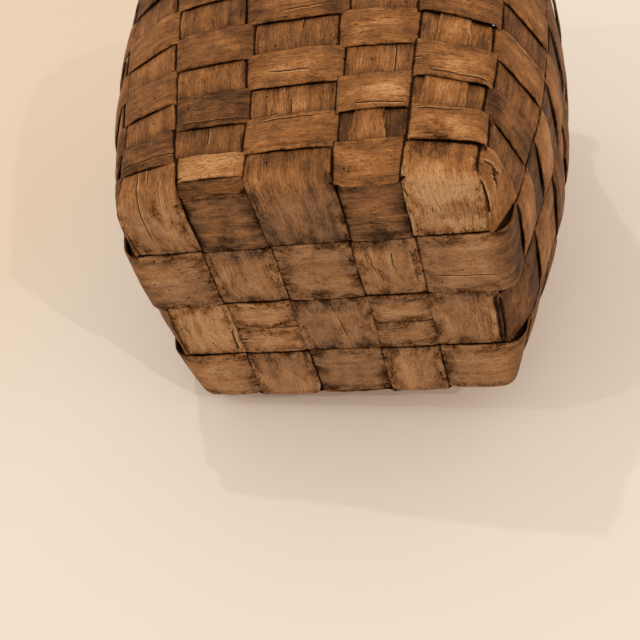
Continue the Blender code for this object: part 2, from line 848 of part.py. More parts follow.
def rivet(name, x):
    """Make a copper rivet through both hoops and a handle leg, with its burr inside."""
    head_shares = ((1.0, 0.45), (0.72, 0.80), (0.0, 1.0))
    outline = [
        (RIVET_OUTSIDE + RIVET_HEAD_HEIGHT * up, RIVET_HEAD_RADIUS * out)
        for up, out in head_shares
    ]
    outline += [
        (RIVET_OUTSIDE, RIVET_RADIUS),
        (RIVET_INSIDE, RIVET_RADIUS),
        (RIVET_INSIDE, BURR_RADIUS),
        (RIVET_INSIDE - BURR_THICKNESS, BURR_RADIUS),
        (RIVET_INSIDE - BURR_THICKNESS, RIVET_RADIUS),
        (RIVET_INSIDE - 2 * BURR_THICKNESS, RIVET_RADIUS),
    ]
    item = turned_along_y(name, outline, x, RIVET_HEIGHT)
    smooth_rounds(item, RIVET_SMOOTH_ANGLE)
    return item


def rivet_hole(name, x, targets):
    """Cut a rivet's hole through what it fastens."""
    radius = RIVET_RADIUS + CLEARANCE
    outline = ((RIVET_OUTSIDE + HOOP_THICKNESS, radius), (RIVET_INSIDE - HOOP_THICKNESS, radius))
    cutter = turned_along_y(name, outline, x, RIVET_HEIGHT)
    cutter.hide_render = True
    cutter.display_type = "WIRE"
    for target in targets:
        modifier = target.modifiers.new(name, "BOOLEAN")
        modifier.operation = "DIFFERENCE"
        modifier.solver = "EXACT"
        modifier.object = cutter


def build():
    """Build the whole basket."""
    for item in list(bpy.data.objects):
        bpy.data.objects.remove(item, do_unlink=True)

    staves = {}
    for number in range(COLUMNS):
        staves["column", number] = stave(f"column_stave_{number + 1}", "column", number)
    half_split = SPLIT_GAP / (2 * stave_width(COLUMNS + SPLIT_ROW))
    for number in range(ROWS):
        if number == SPLIT_ROW:
            name = f"row_stave_{number + 1}"
            staves["row", number] = stave(f"{name}_front", "row", number, 0.0, SPLIT_SHARE - half_split)
            back_half = stave(f"{name}_back", "row", number, SPLIT_SHARE + half_split, 1.0)
            ash_splint(back_half)
        else:
            staves["row", number] = stave(f"row_stave_{number + 1}", "row", number)
    for item in staves.values():
        ash_splint(item)

    for doubler in DOUBLERS:
        ash_splint(make_doubler(doubler))
    ash_splint(starter())
    for row in range(1, ROW_COUNT + 1):
        ash_splint(weaver(row))

    outer_hoop = hoop("outer_rim_hoop", OUTER_HOOP_FACE, OUTER_REACH)
    inner_hoop = hoop("inner_rim_hoop", INNER_HOOP_FACE, INNER_REACH)
    bail = handle()
    for item in (outer_hoop, inner_hoop, bail):
        ash_wood(item)
    ash_splint(lashing())

    for side, x in (("right", HALF_SPAN), ("left", -HALF_SPAN)):
        slot = handle_slots()[0 if side == "right" else 1]
        copper(rivet(f"handle_rivet_{side}", x))
        rivet_hole(
            f"rivet_hole_{side}", x,
            (outer_hoop, inner_hoop, bail, staves[stave_of(slot)]),
        )


build()
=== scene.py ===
"""The looks of an old pack basket woven from ash splint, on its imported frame.

Each splint of the frame is replaced by a finer one that follows the same weave: it
bows out over what it crosses, rounds its bends, has worn and slightly ragged edges,
and carries its own grain. Metres, +Z up, the bellied front towards -Y.
"""

import logging
import math
from dataclasses import dataclass, field, replace
from enum import Enum
from functools import lru_cache
from typing import Any

import bpy
import numpy as np
from bpy.types import ID, Material, Node, NodeSocket, NodeTree, Object
from mathutils import Matrix, Vector

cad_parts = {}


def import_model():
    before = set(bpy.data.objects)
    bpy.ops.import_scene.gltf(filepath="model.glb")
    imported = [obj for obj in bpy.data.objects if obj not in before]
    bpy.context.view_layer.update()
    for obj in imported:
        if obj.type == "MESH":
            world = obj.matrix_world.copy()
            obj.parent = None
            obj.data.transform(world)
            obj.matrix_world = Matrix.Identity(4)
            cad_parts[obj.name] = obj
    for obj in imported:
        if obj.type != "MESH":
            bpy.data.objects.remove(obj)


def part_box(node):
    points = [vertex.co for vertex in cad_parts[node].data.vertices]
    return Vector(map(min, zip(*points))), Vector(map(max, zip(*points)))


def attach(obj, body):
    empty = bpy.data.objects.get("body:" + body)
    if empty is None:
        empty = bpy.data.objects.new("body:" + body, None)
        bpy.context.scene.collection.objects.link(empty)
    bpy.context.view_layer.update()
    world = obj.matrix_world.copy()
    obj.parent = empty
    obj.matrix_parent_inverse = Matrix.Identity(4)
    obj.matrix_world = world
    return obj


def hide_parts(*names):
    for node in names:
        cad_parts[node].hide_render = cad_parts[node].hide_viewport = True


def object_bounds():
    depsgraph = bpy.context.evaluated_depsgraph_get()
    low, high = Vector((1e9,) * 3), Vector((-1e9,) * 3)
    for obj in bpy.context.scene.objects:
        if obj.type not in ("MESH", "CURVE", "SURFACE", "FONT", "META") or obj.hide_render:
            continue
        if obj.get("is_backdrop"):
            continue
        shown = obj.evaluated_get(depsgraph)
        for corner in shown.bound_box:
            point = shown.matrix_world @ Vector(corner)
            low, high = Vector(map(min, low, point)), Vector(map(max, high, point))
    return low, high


LOG = logging.getLogger("pack_basket")
PICTURE_SIZE = 640
RIPPLE_SINES = 5
RIPPLE_QUICKENING = 0.83
RIPPLE_FADING = 0.5
BOW_SOFTNESS = 0.9
# A distance, in metres, past everything that wear, soil and cracks reach.
FAR = 1.0

Row = np.ndarray
Tones = tuple[tuple[int, int, float], ...]


def linear(colour: str) -> tuple[float, float, float, float]:
    """Turn an sRGB hex colour into linear light.

    Args:
        colour: The colour as "#RRGGBB".

    Returns:
        Its linear red, green and blue, and an alpha of 1.
    """
    parts = [int(colour[place:place + 2], 16) / 255 for place in (1, 3, 5)]
    red, green, blue = (
        part / 12.92 if part <= 0.04045 else ((part + 0.055) / 1.055) ** 2.4 for part in parts
    )
    return red, green, blue, 1.0


def feed(tree: NodeTree, node: Node, inputs: dict[Any, Any]) -> None:
    """Link other nodes' outputs to a node's inputs, or set them to values.

    Args:
        tree: The tree that holds the node.
        node: The node that is fed.
        inputs: What feeds each input, by name or number: another node's output or a value.
    """
    for key, entry in inputs.items():
        if isinstance(entry, NodeSocket):
            tree.links.new(entry, node.inputs[key])
        else:
            node.inputs[key].default_value = entry


def add_node(
    tree: NodeTree,
    kind: str,
    inputs: dict[Any, Any],
    output: int | str = 0,
    **settings: Any,
) -> NodeSocket:
    """Add a node to a tree.

    Args:
        tree: The tree that gets the node.
        kind: The node's type name, without its prefix.
        inputs: What feeds each input, as feed takes it.
        output: The output that is wanted.
        settings: The node's own properties.

    Returns:
        The wanted output.
    """
    made = tree.nodes.new(f"ShaderNode{kind}")
    for name, value in settings.items():
        setattr(made, name, value)
    feed(tree, made, inputs)
    return made.outputs[output]


def new_material(name: str) -> tuple[Material, Node]:
    """Make a material that shows a shader made of nodes.

    Args:
        name: Its name.

    Returns:
        The material and its shader node.
    """
    material = bpy.data.materials.new(name)
    material.use_nodes = True
    return material, material.node_tree.nodes["Principled BSDF"]


def placed(name: str, data: ID) -> Object:
    """Put an object in the scene.

    Args:
        name: Its name.
        data: The mesh, lamp or camera that it shows.

    Returns:
        The object.
    """
    item = bpy.data.objects.new(name, data)
    bpy.context.scene.collection.objects.link(item)
    return item


def weighted_sum(tree: NodeTree, terms: dict[Any, float], start: float = 0.0) -> Any:
    """Add nodes that add up outputs, each times its weight.

    Args:
        tree: The tree that gets the nodes.
        terms: The weight of each output.
        start: What the sum starts from.

    Returns:
        The output that holds the sum.
    """
    result = start
    for source, weight in terms.items():
        result = add_node(tree, "Math", {0: source, 1: weight, 2: result}, operation="MULTIPLY_ADD")
    return result


def unit(rows: Row) -> Row:
    """Return vectors scaled to length one."""
    return rows / np.maximum(np.linalg.norm(rows, axis=-1, keepdims=True), 1e-12)


def smooth_step(values: Any, low: float, high: float) -> Any:
    """Return 0 below low, 1 above high and a smooth rise between them."""
    part = np.clip((values - low) / (high - low), 0.0, 1.0)
    return part * part * (3 - 2 * part)


def between(low: Any, high: Any, share: Any) -> Any:
    """Return what lies at a share of the way from low to high."""
    return low + (high - low) * share


def squared_off(wave: Row, squareness: Any) -> Row:
    """Return a cosine or sine drawn out for an outline that is squarer than a circle's 2."""
    return np.sign(wave) * np.abs(wave) ** (2 / squareness)


def layered(*values: Any) -> Row:
    """Return values side by side at each point, each spread over all rings and points."""
    return np.stack(np.broadcast_arrays(*values), axis=-1)


def running_sum(shares: tuple[float, ...], start: float, size: float) -> list[float]:
    """Return the boundaries of a row of parts that share a size."""
    total = sum(shares)
    return [start + size * sum(shares[:count]) / total for count in range(len(shares) + 1)]


def lengths(points: Row) -> Row:
    """Return the running length along a line of points."""
    steps = np.linalg.norm(np.diff(points, axis=0), axis=1)
    return np.concatenate([[0.0], np.cumsum(steps)])


def interpolated(at: Row, runs: Row, rows: Row) -> Row:
    """Return points at places between the known ones."""
    return np.stack([np.interp(at, runs, column) for column in rows.T], axis=1)


def blurred(values: Row, reach: float) -> Row:
    """Smooth evenly spaced values or rows of them.

    Args:
        values: The values, one or a row for each step.
        reach: How far they are smoothed, counted in steps.

    Returns:
        The smoothed values, their ends kept in place.
    """
    half = max(int(3 * reach), 1)
    weights = np.exp(-0.5 * (np.arange(-half, half + 1) / reach) ** 2)
    weights /= weights.sum()
    columns = values if values.ndim > 1 else values[:, None]
    before = 2 * columns[:1] - columns[half:0:-1]
    after = 2 * columns[-1:] - columns[-2:-half - 2:-1]
    padded = np.concatenate([before, columns, after])
    soft = np.stack([np.convolve(column, weights, "valid") for column in padded.T], axis=1)
    return soft if values.ndim > 1 else soft[:, 0]


def ripple(runs: Row, seed: int, wavelength: float) -> Row:
    """Make a smooth irregular wave from a few sines.

    Args:
        runs: The places along it, in metres.
        seed: A number that gives each wave its own course.
        wavelength: Its longest wavelength, in metres.

    Returns:
        Values from about -1 to 1, one for each place.
    """
    dice = np.random.default_rng(seed)
    total = np.zeros_like(runs)
    for number in range(RIPPLE_SINES):
        pitch = wavelength / (1 + RIPPLE_QUICKENING * number)
        wave = np.sin(2 * math.pi * (runs / pitch + dice.random()))
        total += wave / (1 + RIPPLE_FADING * number)
    return total / 2


class Side(Enum):
    """Where a splint passes what it crosses."""

    OUTSIDE = 1
    INSIDE = -1

    @property
    def other(self) -> "Side":
        """Return the other side."""
        return Side(-self.value)


class Way(Enum):
    """The way a wide splint runs across the base."""

    COLUMN = "column"
    ROW = "row"

    @property
    def other(self) -> "Way":
        """Return the way across this one."""
        return Way.ROW if self is Way.COLUMN else Way.COLUMN


@dataclass(frozen=True)
class Outline:
    """A level outline of the wall, from the front middle towards +X."""

    xs: Row
    ys: Row
    runs: Row
    chord_share: float = 0.004

    @property
    def length(self) -> float:
        """Return the length all round."""
        return float(self.runs[-1])

    def point(self, share: float) -> Row:
        """Return the point at a share of the length, at height zero."""
        run = (share % 1.0) * self.runs[-1]
        return np.array([np.interp(run, self.runs, self.xs), np.interp(run, self.runs, self.ys), 0.0])

    def nearest_share(self, x: float, y: float) -> float:
        """Return the share of the length that lies nearest to a point."""
        return float(self.runs[np.argmin((self.xs - x) ** 2 + (self.ys - y) ** 2)] / self.runs[-1])

    def normal(self, share: float) -> Row:
        """Return the level direction out of the wall."""
        across = self.point(share + self.chord_share) - self.point(share - self.chord_share)
        return unit(np.array([across[1], -across[0], 0.0]))


@dataclass(frozen=True)
class Crossing:
    """The patch where an upright and a weaver row cross, its corners seen from outside."""

    low_a: Row
    low_b: Row
    high_b: Row
    high_a: Row

    def at(self, across: float, up: float) -> Row:
        """Find a point of the patch.

        Args:
            across: The share of the width.
            up: The share of the height.

        Returns:
            The point.
        """
        low = between(self.low_a, self.low_b, across)
        high = between(self.high_a, self.high_b, across)
        return between(low, high, up)

    @property
    def width(self) -> float:
        """Return the width at half the height."""
        return float(np.linalg.norm(self.at(1.0, 0.5) - self.at(0.0, 0.5)))

    def height(self, across: float) -> float:
        """Return the height at a share of the width."""
        return float(np.linalg.norm(self.at(across, 1.0) - self.at(across, 0.0)))


@dataclass(frozen=True)
class Lattice:
    """The weave that all splints follow, in the frame's own sizes.

    Each row of the profile gives, at a share of the weave's height, the wall's width and
    how far it reaches to the front and to the back, as shares of the belly's sizes, and
    how square its front and its back corners are.
    """

    base_width: float = 0.262
    base_depth: float = 0.220
    weave_height: float = 0.396
    wall_foot: float = 0.0045
    belly_half_width: float = 0.180
    belly_depth: float = 0.207
    back_depth: float = 0.116
    stave_thickness: float = 0.0015
    weaver_thickness: float = 0.0012
    clearance: float = 0.0003
    base_gap: float = 0.0026
    rim_gap: float = 0.0064
    corner_gap: float = 0.0090
    row_gap: float = 0.0020
    upright_end_width: float = 0.0420
    hoop_lift: float = 0.0034
    hoop_height: float = 0.0190
    stave_end_drop: float = 0.0020
    base_crown: float = 0.0034
    trim_start_share: float = 0.78
    settled_share: float = 0.18
    first_upright_share: float = -0.134
    outline_steps: int = 1440
    column_shares: tuple[float, ...] = (0.192, 0.202, 0.232, 0.176, 0.198)
    row_shares: tuple[float, ...] = (0.232, 0.260, 0.276, 0.232)
    upright_shares: tuple[float, ...] = (
        0.86, 1.00, 1.17, 0.89, 0.89,
        0.91, 1.00, 1.14, 0.93,
        1.02, 1.00, 1.20, 0.98, 0.97,
        0.95, 1.12, 1.02, 0.95,
    )
    row_height_shares: tuple[float, ...] = (
        0.98, 0.94, 0.95, 0.98, 1.00, 1.04, 1.06, 1.04,
        1.00, 1.02, 0.97, 1.01, 0.98, 1.02, 1.00, 0.99,
    )
    profile_shares: tuple[tuple[float, ...], ...] = (
        (0.00, 0.776, 0.560, 0.990, 8.0, 8.0),
        (0.06, 0.824, 0.604, 0.994, 6.0, 6.5),
        (0.12, 0.868, 0.653, 0.998, 4.6, 5.4),
        (0.24, 0.944, 0.755, 1.000, 3.5, 4.6),
        (0.37, 0.989, 0.872, 1.000, 2.9, 4.1),
        (0.48, 1.000, 0.965, 1.000, 2.6, 3.8),
        (0.59, 0.988, 1.000, 1.000, 2.6, 3.8),
        (0.70, 0.944, 0.955, 0.996, 2.7, 3.8),
        (0.81, 0.872, 0.825, 0.990, 2.8, 3.9),
        (0.92, 0.812, 0.680, 0.984, 2.9, 4.0),
        (1.00, 0.805, 0.645, 0.990, 3.0, 4.0),
    )

    @property
    def columns(self) -> int:
        """Return how many splints run front to back."""
        return len(self.column_shares)

    @property
    def rows(self) -> int:
        """Return how many splints run left to right."""
        return len(self.row_shares)

    @property
    def uprights(self) -> int:
        """Return how many uprights stand round the wall."""
        return 2 * (self.columns + self.rows)

    @property
    def weaver_rows(self) -> int:
        """Return how many rings of weaver there are."""
        return len(self.row_height_shares)

    @property
    def spacing(self) -> float:
        """Return the distance between the middles of an upright and a weaver."""
        return (self.stave_thickness + self.weaver_thickness) / 2 + self.clearance

    @property
    def base_level(self) -> float:
        """Return the height between the two layers of the base."""
        return self.stave_thickness + self.clearance / 2 + self.base_crown

    @property
    def hoop_bottom(self) -> float:
        """Return the height of the rim hoops' lower edge."""
        return self.weave_height + self.hoop_lift

    @property
    def hoop_top(self) -> float:
        """Return the height of the rim hoops' upper edge."""
        return self.hoop_bottom + self.hoop_height

    @lru_cache(maxsize=None)
    def base_edges(self, way: Way) -> list[float]:
        """Work out where the splints lie on the base.

        Args:
            way: The way they run.

        Returns:
            The boundaries between them and past the outer ones.
        """
        if way is Way.COLUMN:
            return running_sum(self.column_shares, -self.base_width / 2, self.base_width)
        return running_sum(self.row_shares, -self.base_depth / 2, self.base_depth)

    @lru_cache(maxsize=None)
    def levels(self) -> list[float]:
        """Return the heights between the weaver rows."""
        return running_sum(self.row_height_shares, self.wall_foot, self.weave_height - self.wall_foot)

    @lru_cache(maxsize=None)
    def outline(self, height: float) -> Outline:
        """Work out the wall's outline from the profile, smoothly from row to row.

        Args:
            height: The height above the floor.

        Returns:
            The outline.
        """
        share = min((height - self.wall_foot) / (self.weave_height - self.wall_foot), 1.0)
        table = np.array(self.profile_shares)
        places = table[:, 0]
        index = int(np.clip(np.searchsorted(places, share) - 1, 0, len(places) - 2))
        span = places[index + 1] - places[index]
        t = (share - places[index]) / span
        values = []
        for column in table[:, 1:].T:
            slopes = np.gradient(column, places)
            values.append(
                (2 * t**3 - 3 * t**2 + 1) * column[index]
                + (t**3 - 2 * t**2 + t) * span * slopes[index]
                + (3 * t**2 - 2 * t**3) * column[index + 1]
                + (t**3 - t**2) * span * slopes[index + 1]
            )
        width, front, back, front_square, back_square = values
        reach = front * self.belly_depth
        half_depth = (reach + back * self.back_depth) / 2
        angles = np.linspace(0.0, 2 * math.pi, self.outline_steps + 1)
        across, along = np.sin(angles), np.cos(angles)
        squareness = np.where(along > 0, front_square, back_square)
        xs = width * self.belly_half_width * squared_off(across, squareness)
        ys = half_depth - reach - half_depth * squared_off(along, squareness)
        return Outline(xs, ys, lengths(np.stack([xs, ys], axis=1)))

    @lru_cache(maxsize=None)
    def wall_shares(self) -> list[float]:
        """Return the shares of the outline between the settled uprights."""
        return running_sum(self.upright_shares, self.first_upright_share, 1.0)

    @lru_cache(maxsize=None)
    def foot_shares(self) -> list[float]:
        """Work out where the uprights leave the base.

        Returns:
            The shares of the outline, with that of the first upright once more at the end.
        """
        columns, rows = self.base_edges(Way.COLUMN), self.base_edges(Way.ROW)
        points = [(x, rows[0]) for x in columns[:-1]]
        points += [(columns[-1], y) for y in rows[:-1]]
        points += [(x, rows[-1]) for x in reversed(columns[1:])]
        points += [(columns[0], y) for y in reversed(rows[1:])]
        foot = self.outline(self.wall_foot)
        shares = []
        for index, (x, y) in enumerate(points):
            share = foot.nearest_share(x, y)
            shares.append(share - 1.0 if index < self.columns and share > 0.5 else share)
        return shares + [shares[0] + 1.0]

    def boundary(self, slot: int, height: float) -> float:
        """Return where an upright's room starts, which settles from its foot upwards.

        Args:
            slot: The upright's number, from the front left towards +X.
            height: The height above the floor.

        Returns:
            The share of the outline.
        """
        settled = self.settled_share * self.weave_height
        blend = float(smooth_step(height - self.wall_foot, 0.0, settled))
        return self.foot_shares()[slot] * (1 - blend) + self.wall_shares()[slot] * blend

    def stave_of(self, slot: int) -> tuple[Way, int]:
        """Find the splint that an upright belongs to.

        Args:
            slot: The upright's number.

        Returns:
            The splint's way and its number.
        """
        if slot < self.columns:
            return Way.COLUMN, slot
        if slot < self.columns + self.rows:
            return Way.ROW, slot - self.columns
        if slot < 2 * self.columns + self.rows:
            return Way.COLUMN, 2 * self.columns + self.rows - 1 - slot
        return Way.ROW, self.uprights - 1 - slot

    def upright_width(self, slot: int, height: float) -> float:
        """Work out an upright's width, trimmed towards its end at the rim.

        Args:
            slot: The upright's number.
            height: The height above the floor.

        Returns:
            The width.
        """
        way, number = self.stave_of(slot)
        edges = self.base_edges(way)
        width = edges[number + 1] - edges[number] - self.base_gap
        start = self.trim_start_share * self.weave_height
        trim = min(max((height - start) / (self.weave_height - start), 0.0), 1.0)
        return width - max(width - self.upright_end_width, 0.0) * trim

    def gap(self, slot: int, height: float) -> float:
        """Work out the least gap between an upright and the one before it.

        Args:
            slot: The upright's number.
            height: The height above the floor.

        Returns:
            The gap.
        """
        corners = (0, self.columns, self.columns + self.rows, 2 * self.columns + self.rows)
        foot_gap = self.corner_gap if slot % self.uprights in corners else self.base_gap
        rise = min(1.0, height / self.weave_height)
        return between(foot_gap, max(self.rim_gap, foot_gap), rise)

    @lru_cache(maxsize=None)
    def wall_point(self, slot: int, share: float, height: float) -> Row:
        """Find a point on the wall.

        Args:
            slot: The upright's number.
            share: The share of its width.
            height: The height above the floor.

        Returns:
            The point.
        """
        outline = self.outline(height)
        start, end = self.boundary(slot, height), self.boundary(slot + 1, height)
        margin, end_margin = self.gap(slot, height) / 2, self.gap(slot + 1, height) / 2
        room = (end - start) * outline.length - margin - end_margin
        width = min(self.upright_width(slot, height), room)
        run = margin + (room - width) / 2 + width * share
        return outline.point(start + run / outline.length) + np.array([0.0, 0.0, height])

    @lru_cache(maxsize=None)
    def crossing(self, slot: int, row: int) -> Crossing:
        """Find the patch where an upright and a weaver row cross.

        Args:
            slot: The upright's number.
            row: The row, from 1, or one more than the last for the end between the hoops.

        Returns:
            The patch.
        """
        if row > self.weaver_rows:
            low, high = self.hoop_bottom, self.hoop_top - self.stave_end_drop
        else:
            levels = self.levels()
            low, high = levels[row - 1] + self.row_gap / 2, levels[row] - self.row_gap / 2
        places = ((0.0, low), (1.0, low), (1.0, high), (0.0, high))
        return Crossing(*(self.wall_point(slot, share, height) for share, height in places))

    def weaver_side(self, slot: int, row: int) -> Side:
        """Return on which side of an upright a weaver row passes."""
        return Side.OUTSIDE if (slot + row) % 2 == 0 else Side.INSIDE

    def column_is_outside(self, column: int, row: int) -> bool:
        """Return whether the column shows at a crossing of the base."""
        return (column + row) % 2 == 0

    def base_point(self, column: int, row: int, across: float, back: float) -> Row:
        """Find a point of a crossing of the base.

        Args:
            column: The number of the splint that runs front to back.
            row: The number of the one that runs left to right.
            across: The share of the crossing's width.
            back: The share of its depth.

        Returns:
            The point.
        """
        xs, ys = self.base_edges(Way.COLUMN), self.base_edges(Way.ROW)
        return np.array([
            between(xs[column], xs[column + 1], across),
            between(ys[row], ys[row + 1], back),
            self.base_level,
        ])


@dataclass(frozen=True)
class Lie:
    """How a splint lies along a stretch.

    The offset is how far its middle lies outside the lattice, the rise how far it bows
    at the middle of the stretch, the ease how freely it rounds its bends from 0 to 1,
    the tone its colour from 0, darkest, to 1, palest, the crown how far it bulges across
    its width, and the dust how dusty its face is from 0 to 1.
    """

    side: Side
    offset: float
    rise: float
    tone: float
    ease: float = 0.0
    crown: float = 0.0006
    dust: float = 0.0


@dataclass
class SplintPath:
    """Samples along a splint: its two edges and how it lies there."""

    first: list[Row] = field(default_factory=list)
    second: list[Row] = field(default_factory=list)
    lies: list[Lie] = field(default_factory=list)

    def add(self, first: Row, second: Row, lie: Lie) -> None:
        """Add a sample.

        Args:
            first: A point of the first edge.
            second: The point of the second edge across from it.
            lie: How the splint lies there.
        """
        self.first.append(first)
        self.second.append(second)
        self.lies.append(lie)

    def changes(self) -> list[tuple[int, int]]:
        """Find the neighbours of which one lies outside and one inside.

        Returns:
            The pairs, the outer one first.
        """
        pairs = []
        for index in range(len(self.lies) - 1):
            here, ahead = self.lies[index].side, self.lies[index + 1].side
            if here is not ahead:
                pairs.append((index, index + 1) if here is Side.OUTSIDE else (index + 1, index))
        return pairs

    def held(self, runs: Row, share: float) -> Row:
        """Work out where the lies hold, the outer ones drawn out over the gaps.

        Args:
            runs: The running length of each sample.
            share: The share of the gap that an outer stretch takes up.

        Returns:
            The drawn running length of each sample.
        """
        drawn = runs.copy()
        for outer, inner in self.changes():
            drawn[outer] = runs[outer] + share * (runs[inner] - runs[outer])
        return drawn

    def bump(self, runs: Row, at: Row, fullness: float) -> Row:
        """Work out how far along its rise the splint is.

        Args:
            runs: The running length at which each lie holds.
            at: The running lengths that are asked for.
            fullness: How flat the middle of a stretch is.

        Returns:
            0 where it passes from one side to the other, up to 1 amid a stretch.
        """
        bump = np.zeros(len(at))
        start = 0
        while start < len(runs):
            end = start
            while end + 1 < len(runs) and self.lies[end + 1].side is self.lies[start].side:
                end += 1
            inside = (at >= runs[start]) & (at <= runs[end])
            part = (at[inside] - runs[start]) / max(runs[end] - runs[start], 1e-9)
            bump[inside] = (1 - np.abs(2 * part - 1) ** fullness) ** BOW_SOFTNESS
            start = end + 1
        return bump

    def dive(self, runs: Row, at: Row, cover: float, face: Side) -> Row:
        """Work out how far the splint is from the edges that it dives under.

        Args:
            runs: The running length of each sample.
            at: The running lengths that are asked for.
            cover: How far the splint above reaches over the gap.
            face: The face of the splint that is asked for.

        Returns:
            The distances, below zero where it is covered.
        """
        dive = np.full(len(at), FAR)
        for pair in self.changes():
            shown, hidden = pair if face is Side.OUTSIDE else pair[::-1]
            apart = (at - runs[hidden]) * np.sign(runs[shown] - runs[hidden])
            dive = np.minimum(dive, np.maximum(apart, -2 * apart) - cover)
        return dive


@dataclass
class Strip:
    """A splint's middle surface, as points along and across it, and its state there.

    Along it, the runs are how far each step is from its start, the bump how far along
    its rise it is, shows whether it passes outside, 1, or inside, -1, and the dives how
    far it is from what covers its outer and its inner face. Across it, the places are
    how far each point is from the middle and the depth how far from the nearer edge.
    """

    points: Row
    facing: Row
    runs: Row
    places: Row
    depth: Row
    bump: Row
    shows: Row
    dives: list[Row]
    tone: Row
    dust: Row
    # Grime from marks, with grime and painted shade near its edges and where it dives under.
    grime: Row

    def nearest(self, place: Row) -> tuple[float, float, float]:
        """Find the point that is nearest to a place.

        Args:
            place: The place.

        Returns:
            How far along and how far across the point lies, and how far away it is.
        """
        apart = np.linalg.norm(self.points - place, axis=2)
        at = np.unravel_index(np.argmin(apart), apart.shape)
        return float(self.runs[at[0]]), float(self.places[at]), float(apart[at])


@dataclass(frozen=True)
class Mark:
    """A soft patch on a splint where it is paler, darker, dirtier or wrinkled.

    The length runs along the grain and the width across it, and it fades out unevenly.
    """

    place: Row
    length: float
    width: float
    tone: float = 0.0
    grime: float = 0.0
    wrinkle: float = 0.0
    reach: float = 0.007
    fade: tuple[float, float] = (0.30, 0.62)
    unevenness: float = 0.16
    pitch: float = 0.02
    slant: float = 2.1
    wrinkle_pitch: float = 0.011
    wrinkle_slant: float = 0.5

    def press(self, strip: Strip, seed: int) -> None:
        """Put the mark on a strip that passes within its reach.

        Args:
            strip: The strip, which is changed.
            seed: The number that gives the strip its own edges and grain.
        """
        run, place, apart = strip.nearest(self.place)
        if apart >= self.reach:
            return
        runs, places = strip.runs[:, None], strip.places
        outwards = np.hypot((runs - run) / self.length, (places - place) / self.width)
        uneven = self.unevenness * ripple(runs + self.slant * places, seed, self.pitch)
        weight = 1 - smooth_step(outwards + uneven, *self.fade)
        waves = ripple(runs + self.wrinkle_slant * places, seed + 11, self.wrinkle_pitch)
        dent = weight * (self.wrinkle * waves)
        strip.tone = strip.tone + self.tone * weight
        strip.grime = strip.grime + self.grime * weight
        strip.points = strip.points + strip.facing[:, None, :] * dent[:, :, None]


@dataclass(frozen=True)
class Crack:
    """A split along the grain, which drifts across it by the given distance.

    The gape is how wide it stands open, 1 for a hair's breadth.
    """

    place: Row
    length: float
    drift: float = 0.0
    gape: float = 1.0
    reach: float = 0.007
    stray: float = 0.0003
    pitch: float = 0.02
    closing: float = 3.0

    def distance(self, strip: Strip, number: int) -> Row:
        """Work out how far each point of a strip is from the crack.

        Args:
            strip: The strip.
            number: The crack's number, which gives it its own course.

        Returns:
            The distances, below zero on one side, which grow past the crack's ends.
        """
        run, place, apart = strip.nearest(self.place)
        if apart >= self.reach:
            return np.full(strip.places.shape, FAR)
        part = (strip.runs - run) / self.length
        course = place + self.drift * part + self.stray * ripple(strip.runs, number, self.pitch)
        beyond = self.closing * np.maximum(np.abs(part) - 0.5, 0.0) * self.length
        aside = strip.places - course[:, None]
        side = np.where(aside < 0, -1.0, 1.0) * (1 - 2 * (number % 2))
        return side * (np.abs(aside) + beyond[:, None]) / self.gape


@dataclass(frozen=True)
class Features:
    """What age and wear have done to single places of the weave."""

    marks: tuple[Mark, ...] = ()
    cracks: tuple[Crack, ...] = ()


